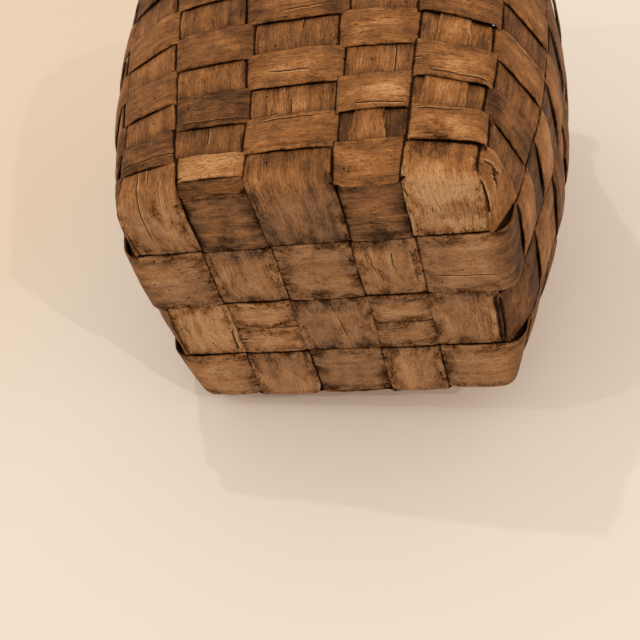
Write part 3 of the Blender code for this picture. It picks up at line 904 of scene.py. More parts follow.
@dataclass(frozen=True)
class SplintShape:
    """How the mesh of a splint is made from its path, and how it wears.

    It is wider where it shows and narrower where it dives. Its edges are ragged over a
    long pitch and frayed over a short one, and its faces wave a little. Grime and painted
    shade darken it within a reach of its edges and of what it dives under, more and further
    on a dusty face, and hands have rubbed its high middle and its lips.
    """

    thickness: float
    across_steps: int
    widen: float
    narrow: float
    ragged: float = 0.0004
    ragged_pitch: float = 0.060
    fray_share: float = 0.4
    fray_pitch: float = 0.009
    waviness: float = 0.00025
    wave_pitch: float = 0.043
    wave_slant: float = 0.4
    fullness: float = 3.0
    least_crown_share: float = 0.3
    crown_squareness: float = 2.4
    hold_share: float = 0.75
    gap_spread: float = 0.0
    gap_reaches: tuple[float, float] = (0.001, 0.005)
    step: float = 0.0018
    tight_bend: float = 0.0022
    wide_bend: float = 0.0062
    offset_steps: float = 1.1
    facing_steps: float = 2.0
    state_steps: float = 2.0
    ease_steps: float = 3.0
    dust_steps: float = 3.0
    edge_reach: float = 0.0006
    edge_thickness_share: float = 0.40
    # How far in from an edge, or from what covers a face, grime and painted shade reach, and how dark
    # they are; further and darker on a dusty face.
    soil_and_shade_reach: float = 0.0014
    dusty_soil_and_shade_reach: float = 0.0120
    soil_and_shade: float = 0.60
    dusty_soil_and_shade: float = 0.25
    rubbed: float = 0.7
    rubbed_bumps: tuple[float, float] = (0.6, 1.0)
    rubbed_reach: float = 0.012
    lip_wear: float = 0.8
    lip_bump: float = 0.25
    lip_reaches: tuple[float, float] = (0.0005, 0.0014)
    grain_step: float = 0.53
    turned: bool = False

    def lay(self, path: SplintPath, seed: int) -> Strip:
        """Lay the splint's middle surface along its path.

        Args:
            path: The samples along the splint.
            seed: A number that gives this splint its own edges and grain.

        Returns:
            The strip, without its marks.
        """
        raw = [np.array(path.first), np.array(path.second)]
        known = lengths((raw[0] + raw[1]) / 2)
        runs = np.linspace(0.0, known[-1], int(known[-1] / self.step) + 2)
        held = path.held(known, self.hold_share)
        offset, rise, tone, ease, crown, dust = (
            np.interp(runs, held, [getattr(lie, value) for lie in path.lies])
            for value in ("offset", "rise", "tone", "ease", "crown", "dust")
        )
        shows = np.sign(np.interp(runs, held, [lie.side.value for lie in path.lies]))
        dives = [path.dive(known, runs, self.widen, face) for face in Side]
        ease = blurred(ease, self.ease_steps)[:, None]
        first, second = (
            blurred(edge, self.tight_bend / self.step) * (1 - ease)
            + blurred(edge, self.wide_bend / self.step) * ease
            for edge in (interpolated(runs, known, rows) for rows in raw)
        )
        bump = path.bump(held, runs, self.fullness)
        along = unit(np.gradient((first + second) / 2, axis=0))
        across = unit(second - first)
        outwards = np.cross(along, across) * (-1 if self.turned else 1)
        facing = unit(blurred(outwards, self.facing_steps))
        lift = (blurred(offset, self.offset_steps) + rise * bump * shows)[:, None] * facing
        spread = between(self.narrow, self.widen, bump * (shows > 0))
        gap = 1 - smooth_step(np.abs(dives[0]), *self.gap_reaches)
        spread = np.maximum(spread, self.gap_spread * gap)
        first, second = (
            edge + lift + way * across * (spread + self.raggedness(runs, own))[:, None]
            for edge, way, own in ((first, -1, seed), (second, 1, seed + 500))
        )

        runs = lengths((first + second) / 2)
        width = np.linalg.norm(second - first, axis=1)
        edge_share = self.edge_reach / float(np.median(width))
        inner = np.linspace(edge_share, 1 - edge_share, self.across_steps)
        shares = np.concatenate([[0.0], inner, [1.0]])
        sides = 2 * shares - 1
        points = between(first[:, None, :], second[:, None, :], shares[None, :, None])
        places = (shares[None, :] - 0.5) * width[:, None]
        depth = (1 - np.abs(sides))[None, :] * width[:, None] / 2
        crown = crown * between(self.least_crown_share, 1.0, bump)
        height = crown[:, None] * (1 - np.abs(sides) ** self.crown_squareness)[None, :]
        slanted = runs[:, None] + self.wave_slant * places
        height += self.waviness * ripple(slanted, seed + 7, self.wave_pitch)
        points = points + facing[:, None, :] * height[:, :, None]
        tone = blurred(tone, self.state_steps)[:, None]
        dust = blurred(dust, self.dust_steps)[:, None]
        # Grime and painted shade along the edges.
        grime = self.soiled_and_shaded(depth, dust)
        return Strip(points, facing, runs, places, depth, bump, shows, dives, tone, dust, grime)

    def raggedness(self, runs: Row, seed: int) -> Row:
        """Return how far an edge strays from its course."""
        frayed = self.fray_share * ripple(runs, seed, self.fray_pitch)
        return self.ragged * (ripple(runs, seed, self.ragged_pitch) + frayed)

    def soiled_and_shaded(self, inwards: Row, dust: Row) -> Row:
        """Return the grime and painted shade at a distance from an edge or from what covers it."""
        reach = self.soil_and_shade_reach + self.dusty_soil_and_shade_reach * dust
        return (self.soil_and_shade + self.dusty_soil_and_shade * dust) * (1 - smooth_step(inwards / reach, 0.0, 1.0))

    def wear(self, strip: Strip) -> Row:
        """Work out how worn a strip is, on its high middle and along its lips.

        Args:
            strip: The strip.

        Returns:
            The wear from 0 to 1.
        """
        high = (smooth_step(strip.bump, *self.rubbed_bumps) * (strip.shows > 0))[:, None]
        middle = high * smooth_step(strip.depth, 0.0, self.rubbed_reach)
        lip = (1 - smooth_step(strip.depth, *self.lip_reaches)) * (strip.bump > self.lip_bump)[:, None]
        return np.clip(np.maximum(self.rubbed * middle, self.lip_wear * lip), 0, 1)

    def build(
        self, name: str, path: SplintPath, seed: int, finish: Material,
        features: Features = Features(),
    ) -> Object:
        """Make the splint's mesh, with its grain and its state as attributes.

        Args:
            name: The object's name.
            path: The samples along the splint.
            seed: A number that gives this splint its own edges and grain.
            finish: Its material.
            features: The marks and cracks, of which the nearby ones show.

        Returns:
            The splint as an object.
        """
        strip = self.lay(path, seed)
        for mark in features.marks:
            mark.press(strip, seed)
        split = np.full(strip.places.shape, FAR)
        for number, crack in enumerate(features.cracks):
            signed = crack.distance(strip, number)
            split = np.where(np.abs(signed) < np.abs(split), signed, split)

        points = strip.points
        normal = unit(np.cross(np.gradient(points, axis=0), np.gradient(points, axis=1)))
        normal *= np.sign(np.sum(normal * strip.facing[:, None, :], axis=2, keepdims=True))
        half = np.full((points.shape[1], 1), self.thickness / 2)
        half[[0, -1]] *= self.edge_thickness_share
        ring = np.concatenate([points + normal * half, (points - normal * half)[:, ::-1]], axis=1)
        wear = self.wear(strip)
        grain = layered(strip.runs[:, None] + self.grain_step * seed, strip.places, strip.depth)
        states, faults = [], []
        for dive in strip.dives:
            # Grime and painted shade also where this face dives under what crosses it.
            grime = np.maximum(strip.grime, self.soiled_and_shaded(dive[:, None], strip.dust))
            states.append(layered(strip.tone, np.clip(grime, 0, 1), wear))
            faults.append(layered(split, dive[:, None], strip.dust))
        attributes = {"splint_place": (grain, grain), "splint_state": states, "splint_fault": faults}
        return closed_mesh(name, ring, {
            key: np.concatenate([outer, inner[:, ::-1]], axis=1)
            for key, (outer, inner) in attributes.items()
        }, finish)


def closed_mesh(
    name: str, ring: Row, attributes: dict[str, Row], finish: Material,
    closed: bool = False,
) -> Object:
    """Make a closed smooth mesh from rings of points.

    Args:
        name: The object's name.
        ring: The points, as rings by points in a ring by coordinates.
        attributes: Three values for each point or for all, by name.
        finish: Its material.
        closed: Whether the last ring joins the first.

    Returns:
        The object.
    """
    rings, count = ring.shape[:2]
    here = np.arange(rings if closed else rings - 1)[:, None] * count
    step = np.arange(count)[None, :]
    after = (step + 1) % count
    there = (here + count) % (rings * count)
    quads = np.stack([here + step, here + after, there + after, there + step], axis=2)
    faces = quads.reshape(-1, 4).tolist()
    if not closed:
        last = (rings - 1) * count
        for index in range(count // 2 - 1):
            cap = (index, index + 1, count - 2 - index, count - 1 - index)
            faces.append(cap[::-1])
            faces.append([last + corner for corner in cap])
    mesh = bpy.data.meshes.new(name)
    mesh.from_pydata(ring.reshape(-1, 3).tolist(), [], faces)
    for key, values in attributes.items():
        layer = mesh.attributes.new(key, "FLOAT_VECTOR", "POINT")
        spread = np.broadcast_to(values, ring.shape)
        layer.data.foreach_set("vector", spread.astype(np.float32).ravel())
    mesh.update()
    mesh.calc_loop_triangles()
    corners = np.empty(len(mesh.loop_triangles) * 3, dtype=np.int64)
    mesh.loop_triangles.foreach_get("vertices", corners)
    a, b, c = (ring.reshape(-1, 3)[corners.reshape(-1, 3)[:, place]] for place in range(3))
    if np.sum(np.einsum("ij,ij->i", a, np.cross(b, c))) < 0:
        mesh.flip_normals()
    mesh.shade_smooth()
    mesh.materials.append(finish)
    return placed(name, mesh)


@dataclass(frozen=True)
class Pattern:
    """A pattern in the wood: its length along the grain, its width and how fine it is."""

    length: float
    width: float
    detail: float = 2.0
    roughness: float = 0.55


@dataclass(frozen=True)
class AshFinish:
    """Ash split along its growth rings, then darkened by decades of use.

    The ring-porous wood shows coarse open pores as short dark dashes along the grain,
    soft bands of early and late growth, blotches of handling, a few beetle holes and
    thin drying splits, one lip of each split lighter as a painted highlight. Grime and
    painted shade darken its edges and where it dives under another splint. It is matt,
    with a little polish where hands have rubbed it.
    The pores are drawn coarser than real ones, which would be too fine to show.
    """

    name: str = "ash_splint_pounded_and_aged"
    shadow: str = "#3A200E"
    dark: str = "#613D1B"
    middle: str = "#84572D"
    warm: str = "#A7703C"
    pale: str = "#CB9C69"
    # The dark of pores, holes and open splits, also used to paint shade along edges and where splints
    # dive under one another.
    soot_and_shade: str = "#1B0E06"
    dust: str = "#A48B6F"
    fibre: Pattern = Pattern(0.013, 0.0008, 4.0, 0.76)
    band: Pattern = Pattern(0.120, 0.0060, 3.0)
    pore: Pattern = Pattern(0.0032, 0.0007, roughness=0.60)
    blotch: Pattern = Pattern(0.018, 0.012, 5.0, 0.70)
    stain: Pattern = Pattern(0.058, 0.045)
    speck: Pattern = Pattern(0.0026, 0.0016)
    hairline: Pattern = Pattern(0.070, 0.0050)
    hole_pitch: float = 0.056
    hole_radius: float = 0.0007
    split_half_width: float = 0.00034
    seam_width: float = 0.0018
    # How wide the painted shade runs where a splint dives under another.
    bump_depth: float = 0.0005
    lift: float = 0.03
    roughness: float = 0.58
    sheen: float = 0.22

    def build(self) -> Material:
        """Lay down the wood's patterns, wear, grime and painted shade from the splints' attributes.

        Returns:
            The material.
        """
        material, shader = new_material(self.name)
        tree = material.node_tree
        place, state, fault = (
            add_node(tree, "Attribute", {}, "Vector", attribute_name=f"splint_{name}")
            for name in ("place", "state", "fault")
        )
        # The grime channel holds real grime, and on splints also painted shade along their edges and
        # where they dive under one another.
        tone, grime, wear = (add_node(tree, "SeparateXYZ", {0: state}, axis) for axis in range(3))
        split, dive, dust = (add_node(tree, "SeparateXYZ", {0: fault}, axis) for axis in range(3))
        depth = add_node(tree, "SeparateXYZ", {0: place}, 2)
        noises = {}
        for name in ("fibre", "band", "pore", "blotch", "stain", "speck", "hairline"):
            pattern = getattr(self, name)
            scale = (1 / pattern.length, 1 / pattern.width, 1.0)
            scaled = add_node(tree, "Mapping", {"Vector": place, "Scale": scale})
            fineness = {"Detail": pattern.detail, "Roughness": pattern.roughness}
            noises[name] = add_node(
                tree, "TexNoise", {"Vector": scaled, "Scale": 1.0, **fineness},
                noise_dimensions="2D",
            )
        fibre, band, blotch = noises["fibre"], noises["band"], noises["blotch"]
        pitch = 1 / self.hole_pitch
        scattered = add_node(tree, "Mapping", {"Vector": place, "Scale": (pitch, pitch, 1.0)})
        centre = add_node(
            tree, "TexVoronoi", {"Vector": scattered, "Scale": 1.0}, "Distance",
            voronoi_dimensions="2D",
        )
        from_middle = add_node(tree, "Math", {0: noises["hairline"], 1: 0.5}, operation="SUBTRACT")
        crease, apart = (
            add_node(tree, "Math", {0: source}, operation="ABSOLUTE")
            for source in (from_middle, split)
        )
        hole, half = self.hole_radius * pitch, self.split_half_width
        uneven = weighted_sum(tree, {blotch: self.seam_width}, -self.seam_width / 2)
        dive = add_node(tree, "Math", {0: dive, 1: uneven}, operation="ADD")
        # Dark lines where a splint dives under another and along its edges are painted shade, and the
        # lighter band on one side of each split is a painted highlight.
        speck, pore, hairline, patch, hole, opened, lip, beyond, clean, seam_shade, edge = (
            add_node(
                tree, "MapRange", {0: source, 1: low, 2: high, 3: start, 4: end},
                interpolation_type="SMOOTHSTEP",
            )
            for source, low, high, start, end in (
                (noises["speck"], 0.55, 0.66, 0.0, 1.0),
                (noises["pore"], 0.54, 0.66, 0.0, 1.0),
                (crease, 0.004, 0.014, 1.0, 0.0),
                (noises["stain"], 0.50, 0.58, 0.0, 1.0),
                (centre, 0.8 * hole, 1.4 * hole, 1.0, 0.0),
                (apart, 0.6 * half, 1.7 * half, 1.0, 0.0),
                (split, half, 2 * half, 0.0, 1.0),
                (split, 3 * half, 5 * half, 1.0, 0.0),
                (blotch, 0.38, 0.60, 1.0, 0.15),
                (dive, 0.4 * self.seam_width, self.seam_width, 1.0, 0.0),
                (depth, 0.0002, 0.0011, 1.0, 0.0),
            )
        )
        settled = add_node(tree, "MapRange", {0: blotch, 1: 0.30, 2: 0.70, 3: 0.12, 4: 0.46})
        hairline, lip, dirt_and_shade, dusted = (
            add_node(tree, "Math", {0: one, 1: other}, operation="MULTIPLY")
            for one, other in ((hairline, patch), (lip, beyond), (grime, clean), (dust, settled))
        )
        free = weighted_sum(tree, {dirt_and_shade: -1.0}, 1.0)
        dusted = add_node(tree, "Math", {0: dusted, 1: free}, operation="MULTIPLY")

        mottling = {blotch: 0.76, noises["stain"]: 0.36, band: 0.55, fibre: 1.00}
        # Grime with its painted shade darkens the colour, and the lip of each split adds a painted
        # highlight.
        level = weighted_sum(
            tree,
            {tone: 1.0, **mottling, wear: 0.18, lip: 0.32, dirt_and_shade: -0.30},
            self.lift - sum(mottling.values()) / 2,
        )
        coloured = add_node(tree, "ValToRGB", {"Fac": level})
        elements = coloured.node.color_ramp.elements
        steps = (
            (0.04, self.shadow), (0.27, self.dark), (0.47, self.middle), (0.71, self.warm),
            (0.97, self.pale),
        )
        while len(elements) < len(steps):
            elements.new(0.5)
        for element, (position, colour) in zip(elements, steps):
            element.position = position
            element.color = linear(colour)

        coloured = add_node(
            tree, "Mix", {0: dusted, 6: coloured, 7: linear(self.dust)}, 2, data_type="RGBA",
        )
        often = add_node(tree, "Math", {0: dirt_and_shade, 1: 0.24}, operation="ADD")
        spotted = add_node(tree, "Math", {0: speck, 1: often}, operation="MULTIPLY")
        # Pores, hairlines, specks, holes and open splits are the wood's own dark marks; grime carries
        # painted shade too, and the dive and edge lines are painted shade.
        marks = weighted_sum(tree, {pore: 0.30, hairline: 0.50, spotted: 0.85, dirt_and_shade: 0.20})
        openings_and_shade = weighted_sum(tree, {hole: 0.92, opened: 0.88, seam_shade: 0.92, edge: 0.42})
        marks = add_node(tree, "Math", {0: marks, 1: openings_and_shade}, operation="MAXIMUM")
        finished = add_node(
            tree, "Mix", {0: marks, 6: coloured, 7: linear(self.soot_and_shade)}, 2, data_type="RGBA",
        )
        height = weighted_sum(
            tree,
            {fibre: 0.75, band: 0.35, blotch: 0.35, pore: -0.20, hairline: -0.4, opened: -1.4,
             hole: -1.2, lip: 0.4},
        )
        feed(tree, shader, {
            "Base Color": finished,
            "Roughness": weighted_sum(tree, {fibre: 0.16, dirt_and_shade: 0.15, wear: -0.08}, self.roughness),
            "Specular IOR Level": weighted_sum(tree, {marks: -0.14, dirt_and_shade: -0.14}, self.sheen),
            "Normal": add_node(tree, "Bump", {"Height": height, "Distance": self.bump_depth}),
        })
        return material


@dataclass(frozen=True)
class CopperFinish:
    """Copper set by hand, then browned by air and handling.

    It is dark and rather dull, and glints where the brown is thin and in small dents.
    """

    bright: str = "#B5714A"
    brown: str = "#5B3626"
    stain_size: float = 0.0022
    dent_size: float = 0.0016
    dent_depth: float = 0.00012
    metallic: float = 0.9

    def build(self) -> Material:
        """Stain the copper in patches and dent it.

        Returns:
            The material.
        """
        material, shader = new_material("copper_hammered_and_browned")
        tree = material.node_tree
        place = add_node(tree, "TexCoord", {}, "Object")
        stain, dent = (
            add_node(tree, "TexNoise", {"Vector": place, "Scale": 1 / size, "Detail": 4.0})
            for size in (self.stain_size, self.dent_size)
        )
        colour = add_node(
            tree, "Mix", {0: stain, 6: linear(self.brown), 7: linear(self.bright)}, 2,
            data_type="RGBA",
        )
        feed(tree, shader, {
            "Base Color": colour,
            "Metallic": self.metallic,
            "Roughness": add_node(tree, "MapRange", {0: stain, 1: 0.3, 2: 0.7, 3: 0.62, 4: 0.34}),
            "Normal": add_node(tree, "Bump", {"Height": dent, "Distance": self.dent_depth}),
        })
        return material


@dataclass(frozen=True)
class PaintFinish:
    """Matt emulsion rolled on a wall: pale, flat and a little mottled.

    It is darker and browner in a broad band to the left of the basket, a painted shadow. It
    shows from its front alone and blocks no light, so the basket can be looked at from all round.
    """

    colour: str = "#EFEDE8"
    shade: str = "#EBE8E2"
    # The painted shadow's colour, and where its band fades in and where it fades out.
    painted_shadow: str = "#E6DACB"
    mottle_size: float = 1 / 6
    painted_shadow_from: tuple[float, float] = (0.20, 0.60)
    painted_shadow_to: tuple[float, float] = (0.90, 1.80)
    roughness: float = 0.9
    sheen: float = 0.1

    def build(self) -> Material:
        """Mottle the paint, paint a shadow on it, and hide it from behind and from the light.

        Returns:
            The material.
        """
        material, shader = new_material("matt_emulsion_paint")
        tree = material.node_tree
        mottle = add_node(tree, "TexNoise", {"Scale": 1 / self.mottle_size, "Detail": 5.0})
        tint = add_node(
            tree, "Mix", {0: mottle, 6: linear(self.colour), 7: linear(self.shade)}, 2,
            data_type="RGBA",
        )
        place = add_node(tree, "TexCoord", {}, "Object")
        x, z = (add_node(tree, "SeparateXYZ", {0: place}, axis) for axis in (0, 2))
        # A painted shadow: darker and browner in a broad band up and to the left of the basket.
        reach = weighted_sum(tree, {z: 0.5, x: -1.0})
        near, far = (
            add_node(
                tree, "MapRange", {0: reach, 1: low, 2: high, 3: start, 4: end},
                interpolation_type="SMOOTHSTEP",
            )
            for low, high, start, end in ((*self.painted_shadow_from, 0.0, 1.0), (*self.painted_shadow_to, 1.0, 0.0))
        )
        painted_shadow = add_node(tree, "Math", {0: near, 1: far}, operation="MULTIPLY")
        tint = add_node(
            tree, "Mix", {0: painted_shadow, 6: tint, 7: linear(self.painted_shadow)}, 2, data_type="RGBA",
        )
        feed(tree, shader, {
            "Base Color": tint, "Roughness": self.roughness, "Specular IOR Level": self.sheen,
        })
        camera_ray, glossy_ray = (
            add_node(tree, "LightPath", {}, name) for name in ("Is Camera Ray", "Is Glossy Ray")
        )
        seen = add_node(tree, "Math", {0: camera_ray, 1: glossy_ray}, operation="MAXIMUM")
        behind = add_node(tree, "NewGeometry", {}, "Backfacing")
        shown = add_node(tree, "Math", {0: seen, 1: behind}, operation="SUBTRACT", use_clamp=True)
        clear = add_node(tree, "BsdfTransparent", {})
        mixed = add_node(tree, "MixShader", {0: shown, 1: clear, 2: shader.outputs[0]})
        feed(tree, tree.nodes["Material Output"], {"Surface": mixed})
        return material


@dataclass(frozen=True)
class ToneBook:
    """How pale each stretch of splint is, from 0 to 1, as the photograph shows it."""

    usual: float = 0.34
    spread: float = 0.07
    base_columns: Tones = (
        (0, 0, 0.58), (2, 0, 0.31), (4, 0, 0.84), (1, 1, 0.47), (3, 1, 0.54),
        (0, 2, 0.77), (2, 2, 0.44), (4, 2, 0.48), (1, 3, 0.48), (3, 3, 0.57),
    )
    base_rows: Tones = (
        (0, 1, 0.25), (0, 3, 0.24), (1, 0, 0.46), (1, 2, 0.46), (1, 4, 0.50),
        (2, 1, 0.64), (2, 3, 0.50), (3, 0, 0.58), (3, 2, 0.42), (3, 4, 0.52),
    )
    weavers: Tones = (
        (1, 1, 0.69), (3, 1, 0.47), (5, 1, 0.52), (0, 2, 0.22), (2, 2, 0.46), (4, 2, 0.53),
        (1, 3, 0.16), (3, 3, 0.55), (5, 3, 0.25), (0, 4, 0.37), (2, 4, 0.48), (4, 4, 0.44),
        (1, 5, 0.36), (3, 5, 0.48), (5, 5, 0.47), (0, 6, 0.43), (6, 2, 0.50), (6, 4, 0.62),
        (7, 3, 0.52), (6, 6, 0.56), (5, 7, 0.45),
    )
    uprights: Tones = (
        (0, 1, 0.50), (2, 1, 0.38), (4, 1, 0.52), (1, 2, 0.30), (3, 2, 0.10), (2, 3, 0.34),
        (0, 3, 0.36), (4, 3, 0.34), (1, 4, 0.35), (3, 4, 0.39), (4, 5, 0.36), (0, 5, 0.42),
        (2, 5, 0.35), (1, 6, 0.27), (5, 2, 0.22), (5, 4, 0.30), (6, 1, 0.14), (17, 2, 0.06),
        (7, 2, 0.04), (6, 3, 0.06), (17, 4, 0.50), (6, 5, 0.12), (17, 6, 0.22), (5, 6, 0.22),
        (6, 7, 0.08), (0, 7, 0.30), (17, 8, 0.14),
    )

    def look_up(self, book: Tones, own: int, other: int) -> float:
        """Look up how pale a stretch of splint is.

        Args:
            book: The tones of the splints that run its way.
            own: The splint's number.
            other: The number of what it crosses there.

        Returns:
            The tone in the book, or else a usual one that is always the same there.
        """
        for entry in book:
            if entry[:2] == (own, other):
                return entry[2]
        dice = np.random.default_rng(97 * own + 13 * other + len(book))
        return self.usual + self.spread * float(dice.normal())


@dataclass
class WideSplints:
    """The wide splints of the base, whose ends turn up as the uprights."""

    lattice: Lattice
    tones: ToneBook
    features: Features
    finish: Material
    split_row: int = 2
    split_gap: float = 0.0010
    base_rise: float = 0.0011
    wall_rise: float = 0.0010
    bend_rise: float = 0.0034
    end_rise: float = 0.0026
    curl_out: float = 0.0024
    curl_up: float = 0.0008
    curl_fullness: float = 0.6
    end_ease: float = 0.8
    greasy_tone: float = 0.12
    dusty_tone: float = 0.42
    base_crown: float = 0.0011
    wall_crown: float = 0.0007
    wall_samples: int = 6
    base_samples: int = 13
    shape: SplintShape = SplintShape(thickness=0.0015, across_steps=13, widen=0.0018, narrow=0.0013)

    def upright(self, slot: int, from_share: float, to_share: float) -> list[tuple[Row, Row, Lie]]:
        """Lay one upright from the base to the rim.

        Args:
            slot: The upright's number.
            from_share: The share of its width at which its first edge lies.
            to_share: The share at which its second edge lies.

        Returns:
            The edges and the lie of each sample.
        """
        lattice = self.lattice
        samples = []
        for row in range(1, lattice.weaver_rows + 2):
            patch = lattice.crossing(slot, row)
            side = lattice.weaver_side(slot, row).other
            tone = self.tones.look_up(self.tones.uprights, slot, row)
            rise = self.bend_rise if row == 1 else self.wall_rise
            ease = 1.0 if row == 1 else 0.0
            lie = Lie(side, side.value * lattice.spacing / 2, rise, tone, ease, self.wall_crown)
            if row > lattice.weaver_rows:
                lie = Lie(Side.INSIDE, 0.0, 0.0, tone)
            for up in np.linspace(0.0, 1.0, self.wall_samples):
                samples.append((patch.at(from_share, up), patch.at(to_share, up), lie))
        return samples

    def base(
        self, way: Way, number: int, from_share: float, to_share: float
    ) -> list[tuple[Row, Row, Lie]]:
        """Lay a splint across the base, its free edges and ends curling where they show.

        Args:
            way: The way it runs.
            number: Its number, from -X or from the front.
            from_share: The share of its width at which its first edge lies.
            to_share: The share at which its second edge lies.

        Returns:
            The edges and the lie of each sample.
        """
        lattice = self.lattice
        own = lattice.base_edges(way)
        crossed_edges = lattice.base_edges(way.other)
        near, far = own[number] + lattice.base_gap / 2, own[number + 1] - lattice.base_gap / 2
        rims = (
            (between(near, far, from_share), -1 if number == 0 and from_share == 0 else 0),
            (between(near, far, to_share), 1 if number == len(own) - 2 and to_share == 1 else 0),
        )
        layer = lattice.stave_thickness + lattice.clearance
        book = self.tones.base_columns if way is Way.COLUMN else self.tones.base_rows
        last = len(crossed_edges) - 2
        samples = []
        for crossed in range(last + 1):
            column, row = (number, crossed) if way is Way.COLUMN else (crossed, number)
            shows = lattice.column_is_outside(column, row) == (way is Way.COLUMN)
            side = Side.OUTSIDE if shows else Side.INSIDE
            at_end = crossed in (0, last)
            tone = self.tones.look_up(book, number, crossed)
            # A dark stretch is a greasy one, which has shed its dust.
            dust = float(smooth_step(tone, self.greasy_tone, self.dusty_tone))
            rise = self.end_rise if at_end and shows else self.base_rise
            ease = self.end_ease if at_end else 0.0
            lie = Lie(side, side.value * layer / 2, rise, tone, ease, self.base_crown, dust)
            start = crossed_edges[crossed] + lattice.base_gap / 2
            end = crossed_edges[crossed + 1] - lattice.base_gap / 2
            for part in np.linspace(0.0, 1.0, self.base_samples):
                curl = math.sin(math.pi * part) ** self.curl_fullness if shows else 0.0
                along = between(start, end, part)
                edges = []
                for place, way_out in rims:
                    place += way_out * self.curl_out * curl
                    height = lattice.base_level + self.curl_up * curl * abs(way_out)
                    spot = (place, along) if way is Way.COLUMN else (along, place)
                    edges.append(np.array([*spot, height]))
                samples.append((*edges, lie))
        return samples

    def build(
        self, name: str, way: Way, number: int, from_share: float = 0.0, to_share: float = 1.0
    ) -> Object:
        """Make one wide splint: an upright, its part of the base and the other upright.

        Args:
            name: The name of the frame's node that it replaces.
            way: The way it runs.
            number: Its number, from -X or from the front.
            from_share: The share of the width at which it starts.
            to_share: The share of the width at which it ends.

        Returns:
            The splint.
        """
        lattice = self.lattice
        shares, mirrored = (from_share, to_share), (1 - from_share, 1 - to_share)
        if way is Way.COLUMN:
            start = self.upright(number, *shares)
            end = self.upright(2 * lattice.columns + lattice.rows - 1 - number, *mirrored)
        else:
            start = self.upright(lattice.uprights - 1 - number, *mirrored)
            end = self.upright(lattice.columns + number, *shares)
        path = SplintPath()
        for sample in start[::-1] + self.base(way, number, from_share, to_share) + end:
            path.add(*sample)
        shape = replace(self.shape, turned=way is Way.ROW)
        if to_share - from_share < 1:
            shape = replace(shape, widen=self.split_gap / 5, narrow=0.0)
        seed = 2 * number + (21 if way is Way.ROW else 1) + int(9 * from_share)
        return shape.build(f"{name}_splint", path, seed, self.finish, self.features)


@dataclass(frozen=True)
class Doubler:
    """A tapered strip slipped in over a worn upright, and the rows that it spans."""

    name: str
    slot: int
    first_row: int
    last_row: int
    low_shares: tuple[float, float]
    high_shares: tuple[float, float]
    tone: float
    tuck_share: float = 0.15
    play: float = 0.0005
    rise: float = 0.0018
    sink: float = 0.0008
    samples: int = 6

    def build(self, lattice: Lattice, finish: Material) -> Object:
        """Make the strip, its ends tucked under the rows before its first and after its last.

        Args:
            lattice: The weave.
            finish: Its material.

        Returns:
            The strip.
        """
        path = SplintPath()
        lift = (lattice.stave_thickness + lattice.weaver_thickness) / 2 + self.play
        rows = self.last_row - self.first_row
        for row in range(self.first_row, self.last_row + 1):
            patch = lattice.crossing(self.slot, row)
            low_up = self.tuck_share if row == self.first_row else 0.0
            high_up = 1 - self.tuck_share if row == self.last_row else 1.0
            side = lattice.weaver_side(self.slot, row).other
            rise = self.rise if side is Side.OUTSIDE else -self.sink
            lie = Lie(side, side.value * lattice.spacing / 2 + lift, rise, self.tone)
            for up in np.linspace(low_up, high_up, self.samples):
                climb = (row - self.first_row + up) / (rows + 1)
                near, far = (
                    between(*ends, climb) for ends in zip(self.low_shares, self.high_shares)
                )
                path.add(patch.at(near, up), patch.at(far, up), lie)
        shape = SplintShape(
            thickness=lattice.weaver_thickness, across_steps=9, widen=0.0004, narrow=0.0,
            ragged=0.0007, turned=True,
        )
        return shape.build(f"{self.name}_splint", path, 150 + self.slot, finish)


